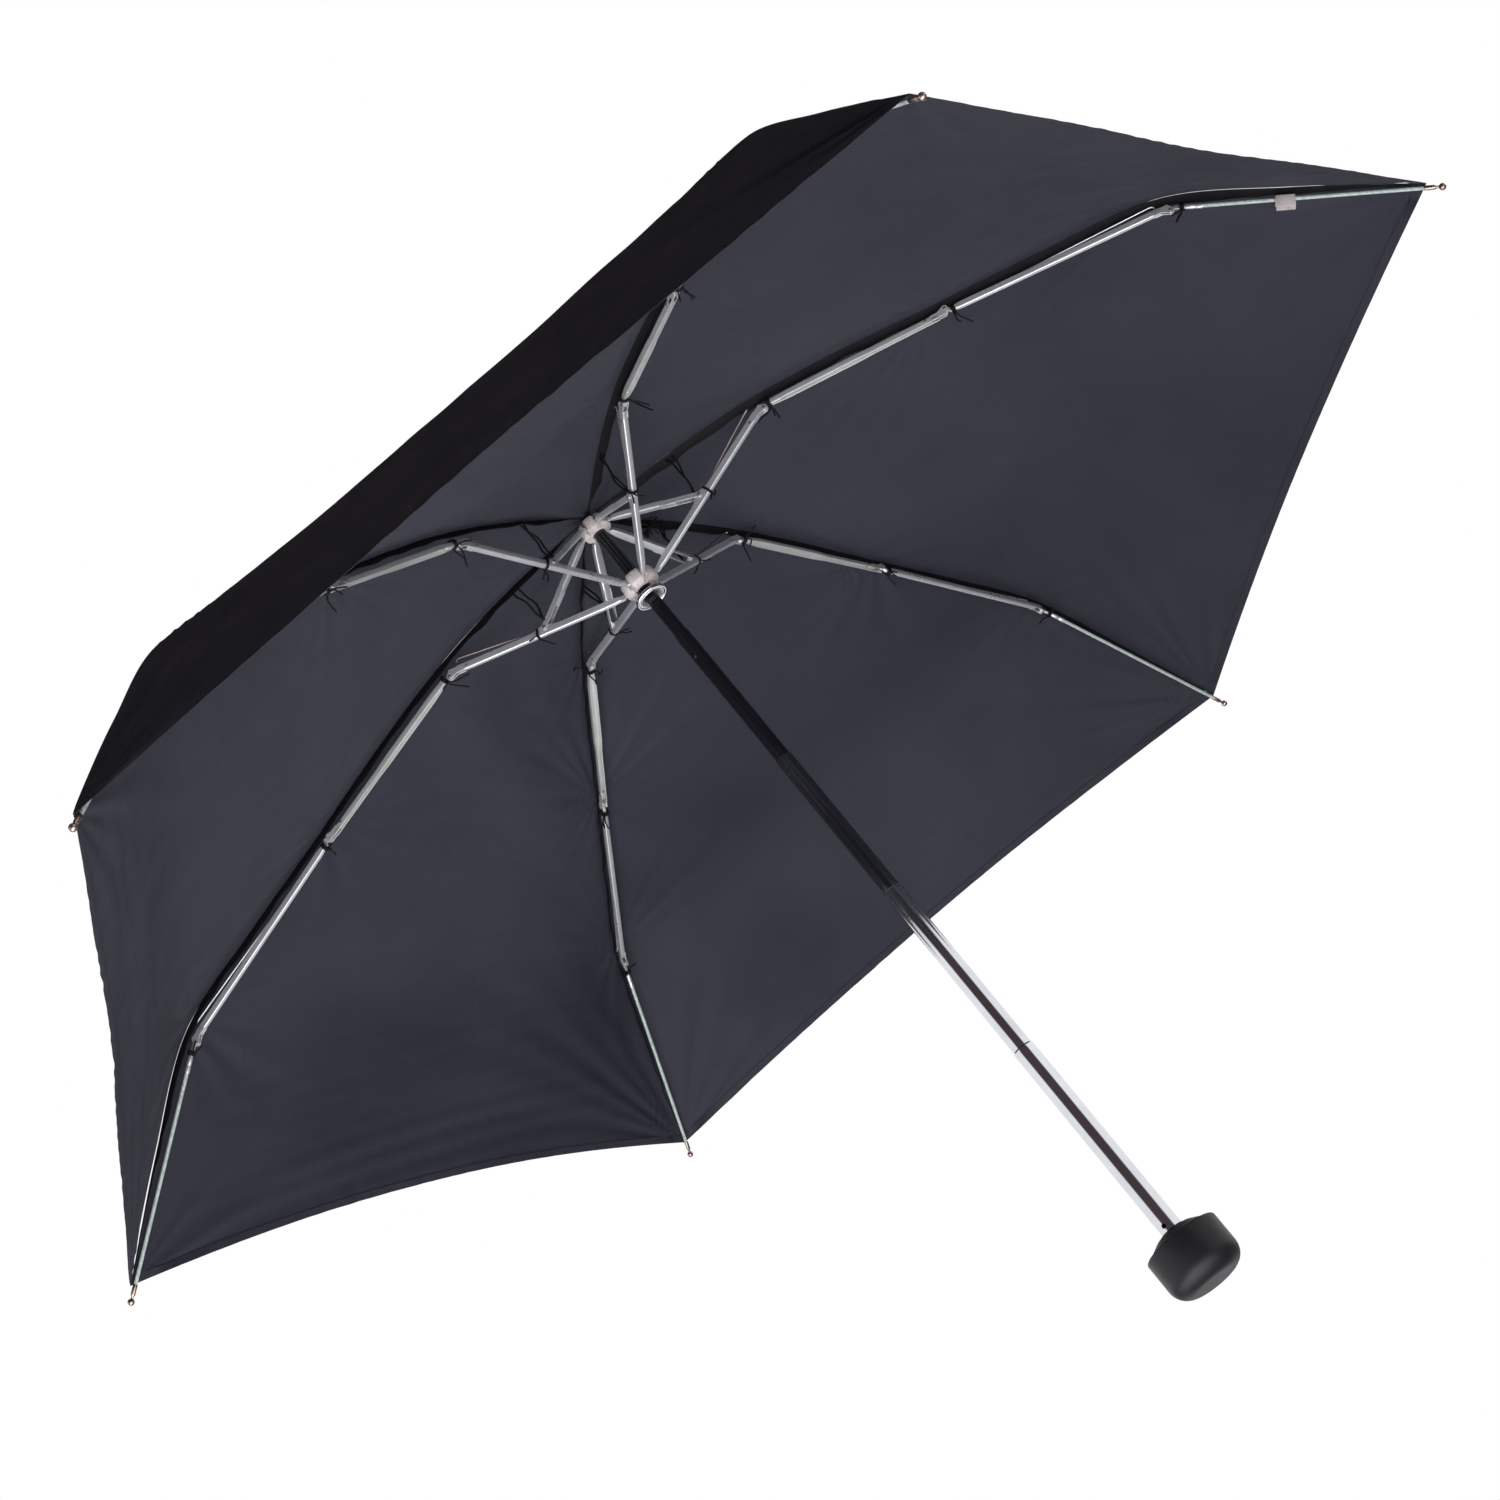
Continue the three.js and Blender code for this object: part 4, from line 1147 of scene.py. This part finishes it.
def seam_flaps():
    """The folded seam inside the cloth over each rib, a piece for each band: {(rib, band): piece}."""
    rib_line = np.array([0.0])
    knees = [float(cut_share(0, knee, member, rib_line)[0]) for knee, member in KNEES]
    shares = [0.0] + knees + [SEAM_END]
    made = {}
    for rib in range(1, RIBS + 1):
        place = rib_turn(rib)
        for band, (low, high) in enumerate(zip(shares, shares[1:])):
            shape, top = seam_shape(rib, low, high)
            body = "crown" if band == 0 else f"{BAND_BODIES[band - 1]}_{rib}"
            # The seam flap is dressed in near-black painted shade.
            thing = piece(f"seam_{rib}_{band + 1}", shape, SEAM_PAINTED_SHADE_AND_THREAD, body, place, sharp=60)
            if band == 0:
                gather(thing)
            else:
                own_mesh(thing)
            made[(rib, band)] = thing
    return made


# ---------------- threads

THREAD = 0.52
TUFT_RIB = 3
TUFT_ENDS = 11


def tie(shape, x, half, low, high, seed, turns=3, tails=2, long=11):
    """Thread wound round a member at x, with loose ends that curl away below it."""
    rng = np.random.default_rng(seed)
    middle, tall = (low + high) / 2, (high - low) / 2
    steps = 14
    wound = [(x + 0.5 * (i / steps - turns / 2) + rng.uniform(-0.08, 0.08),
              half * math.cos(2 * math.pi * i / steps), middle + tall * math.sin(2 * math.pi * i / steps))
             for i in range(turns * steps + 1)]
    shape.wire(wound, THREAD, 6)
    for _ in range(tails):
        side = rng.choice((-1, 1))
        point = Vector((x, half * side * 0.8, low))
        heading = Vector((rng.uniform(-0.6, 0.6), side * rng.uniform(0.3, 0.9), rng.uniform(-0.9, 0.1)))
        reach = long * rng.uniform(0.6, 1.2)
        path = [tuple(point)]
        for _ in range(9):
            heading += Vector(rng.uniform(-0.45, 0.45, 3)) + Vector((0, 0, -0.12))
            point = point + heading.normalized() * reach / 9
            path.append(tuple(point))
        shape.wire(path, THREAD * 0.85, 5)
    return shape


def threads():
    """Black threads that tie the seam to each rib at its knees, at the link and near the crown."""
    for rib in range(1, RIBS + 1):
        seed = 40 * rib
        places = {
            "stretcher": (STRETCHER, tie(Shape(), LINK_HOLD[0] + 4.5, 2.6, -3.9, 1.6, seed, 2, 2, 8)),
            "rib_section_2": (SECTION_2, tie(Shape(), 3.2, 2.4, -0.4, 4.4, seed + 1, 4, 3, 12)),
            "rib_section_3": (SECTION_3, tie(Shape(), 4.2, 1.9, -4.2, 0.2, seed + 2, 4, 3, 9)),
            "tip_rod": (TIP_ROD, tie(Shape(), 6.0, 1.8, -0.2, 3.4, seed + 3, 4, 3, 10)),
        }
        for kind, (member, shape) in places.items():
            body = f"{kind}_{rib}"
            piece(f"thread_{body}", shape, SEAM_PAINTED_SHADE_AND_THREAD, body, member.matrix(rib), sharp=180)
        hold = STRETCHER.at(*LINK_HOLD) / MM
        cloth = line_at(np.array([0.105]))[0]
        rng = np.random.default_rng(seed + 4)
        shape = Shape()
        for number in range(2):
            steps = np.linspace(0, 1, 12)[:, None]
            start = np.array([hold[0] - 3 + number, 1.8, hold[1] + 2.5])
            end = np.array([cloth[0] - 4 * number, 1.0, cloth[1] - 1.5])
            path = start + (end - start) * steps
            sway = rng.uniform(-3.0, 3.0, 3) + 0.7 * np.sin(steps * 9 + np.array([0, 2, 4]))
            path += np.sin(math.pi * steps) * sway
            shape.wire([tuple(p) for p in path], THREAD * 1.2, 6)
        body = f"top_link_{rib}"
        thing = piece(f"thread_crown_{rib}", shape, SEAM_PAINTED_SHADE_AND_THREAD, body, rib_turn(rib), sharp=180)
        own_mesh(thing)


def tuft():
    """A knot of thread ends on one rib's seam, close to the crown."""
    rng = np.random.default_rng(9)
    shape = Shape()
    r, z = line_at(np.array([0.08]))[0]
    for number in range(TUFT_ENDS):
        swing = 2 * math.pi * number / TUFT_ENDS + rng.uniform(-0.2, 0.2)
        heading = Vector((math.cos(swing), math.sin(swing), rng.uniform(-0.9, -0.3)))
        point = Vector((r, 0, z - 4.5))
        path = [tuple(point)]
        for _ in range(7):
            heading += Vector(rng.uniform(-0.3, 0.3, 3))
            point = point + heading.normalized() * rng.uniform(0.8, 1.4)
            path.append(tuple(point))
        shape.wire(path, THREAD * 1.1, 5)
    thing = piece("thread_tuft", shape, SEAM_PAINTED_SHADE_AND_THREAD, "crown", rib_turn(TUFT_RIB), sharp=180)
    gather(thing)


# ---------------- stage

FLOOR_HEIGHT = -0.9
FLOOR_STEP = 0.004
FLOOR_SEEN = 0.88
# The floor's glow, from its dim side to its bright side, and a pool of light behind the umbrella.
LIT_SIDE = (0.55, -0.835, 0.0)
FLOOR_GLOW = (0.02, 3.6)
POOL = (-2.6, 1.35, FLOOR_HEIGHT)
POOL_GLOW = 0.9
# What gloss reflects: dark about this side and overhead, bright elsewhere.
SHADED_SIDE = (0.888, -0.459, 0.0)
DARK = (0.060, 0.045, 0.048)
BRIGHT = (0.90, 0.90, 0.92)
# The camera's place, its axes as columns, and its lens.
VIEWER = Vector((1.2125, -0.6387, -0.2716))
VIEW_AXES = Matrix(((0.119, 0.5794, 0.8063), (0.810, 0.4133, -0.4165), (-0.5745, 0.7025, -0.4200)))
LENS, SENSOR = 69.9, 36


def area_light(name, place, target, size, power, tint):
    """A round lamp at place that points at target."""
    lamp = bpy.data.lights.new(name, "AREA")
    lamp.shape, lamp.size, lamp.energy, lamp.color = "DISK", size, power, tint
    thing = link(name, lamp)
    thing.location = place
    thing.rotation_mode = "QUATERNION"
    thing.rotation_quaternion = (Vector(target) - Vector(place)).to_track_quat("-Z", "Y")
    thing.visible_camera = False


def world():
    """White all round; what gloss reflects is dark only on the shaded side and overhead."""
    made = bpy.data.worlds.new("surround")
    made.use_nodes = True
    n = Nodes.on(made.node_tree)
    ray = n.add("ShaderNodeLightPath").outputs
    direction = n.add("ShaderNodeTexCoord").outputs["Generated"]
    shaded = n.measure("DOT_PRODUCT", direction, SHADED_SIDE)
    height = n.add("ShaderNodeSeparateXYZ", {"Vector": direction}).outputs[2]
    around = n.math("MULTIPLY", n.ramp(shaded, 0.60, 0.74, 1.0, 0.0), n.ramp(height, 0.46, 0.56, 1.0, 0.0))
    tone = n.mix(around, colour(*DARK), colour(*BRIGHT))
    tone = n.mix(ray["Is Diffuse Ray"], tone, colour(0, 0, 0))
    tone = n.mix(ray["Is Camera Ray"], tone, colour(1, 1, 1))
    back = n.add("ShaderNodeBackground", {"Color": tone, "Strength": 1.0})
    n.add("ShaderNodeOutputWorld", {"Surface": back.outputs[0]})
    bpy.context.scene.world = made


def floor_material(name, glows):
    """Pale and plain; what glows is strongest on one side, with a pool that lights the metal."""
    n = Nodes(name)
    place = n.add("ShaderNodeTexCoord").outputs["Object"]
    beside = n.measure("DOT_PRODUCT", place, LIT_SIDE)
    out = n.measure("LENGTH", place)
    away = n.measure("DISTANCE", place, POOL)
    near = n.math("MULTIPLY", n.ramp(beside, 0.0, 0.9, *FLOOR_GLOW), n.ramp(out, 1.8, 3.0, 1.0, 0.0))
    glow = n.math("MAXIMUM", near, n.ramp(away, 1.0, 1.8, POOL_GLOW, 0.0)) if glows else 0.0
    seen = n.add("ShaderNodeLightPath").outputs["Is Camera Ray"]
    base = n.mix(n.noise(3, 2.0), colour(0.80, 0.80, 0.80), colour(0.84, 0.84, 0.84))
    material = n.finish(Base_Color=base, Roughness=0.7, Emission_Color=colour(0.97, 0.98, 1),
                        Emission_Strength=n.blend(seen, glow, FLOOR_SEEN))
    material.cycles.emission_sampling = "FRONT" if glows else "NONE"
    return material


def floor():
    """The glowing part under the umbrella, and the rest of the floor just below it."""
    parts = [("floor_glow", True, (-4.6, 3.1, -3.1, 3.4), FLOOR_HEIGHT),
             ("floor_wide", False, (-60, 60, -60, 60), FLOOR_HEIGHT - FLOOR_STEP)]
    for name, glows, (x0, x1, y0, y1), z in parts:
        mesh = bpy.data.meshes.new(name)
        mesh.from_pydata([(x0, y0, z), (x1, y0, z), (x1, y1, z), (x0, y1, z)], [], [(0, 1, 2, 3)])
        mesh.materials.append(floor_material(name, glows))
        link(name, mesh)


def camera():
    """The camera, from below and to one side, rolled as it was held."""
    lens = bpy.data.cameras.new("camera")
    lens.lens, lens.sensor_width, lens.sensor_fit = LENS, SENSOR, "HORIZONTAL"
    lens.clip_start, lens.clip_end = 0.02, 50
    thing = link("camera", lens)
    place = VIEW_AXES.to_4x4()
    place.translation = VIEWER
    thing.matrix_world = place
    bpy.context.scene.camera = thing


def stage():
    """Surroundings, floor, lamps and camera."""
    world()
    floor()
    area_light("overhead", (-0.3, -0.2, 2.4), (0, 0, 0.45), 1.6, 0.16, (1, 0.99, 0.98))
    area_light("key", (0.75, -0.95, -0.5), (0, 0, 0.4), 0.5, 1.6, (0.98, 0.99, 1))
    camera()
    bpy.context.scene.view_settings.view_transform = "Standard"


# ---------------- build

shaft()
handle()
crown()
runner()
ribs()
rod_clip()
canopy(seam_flaps())
threads()
tuft()
stage()
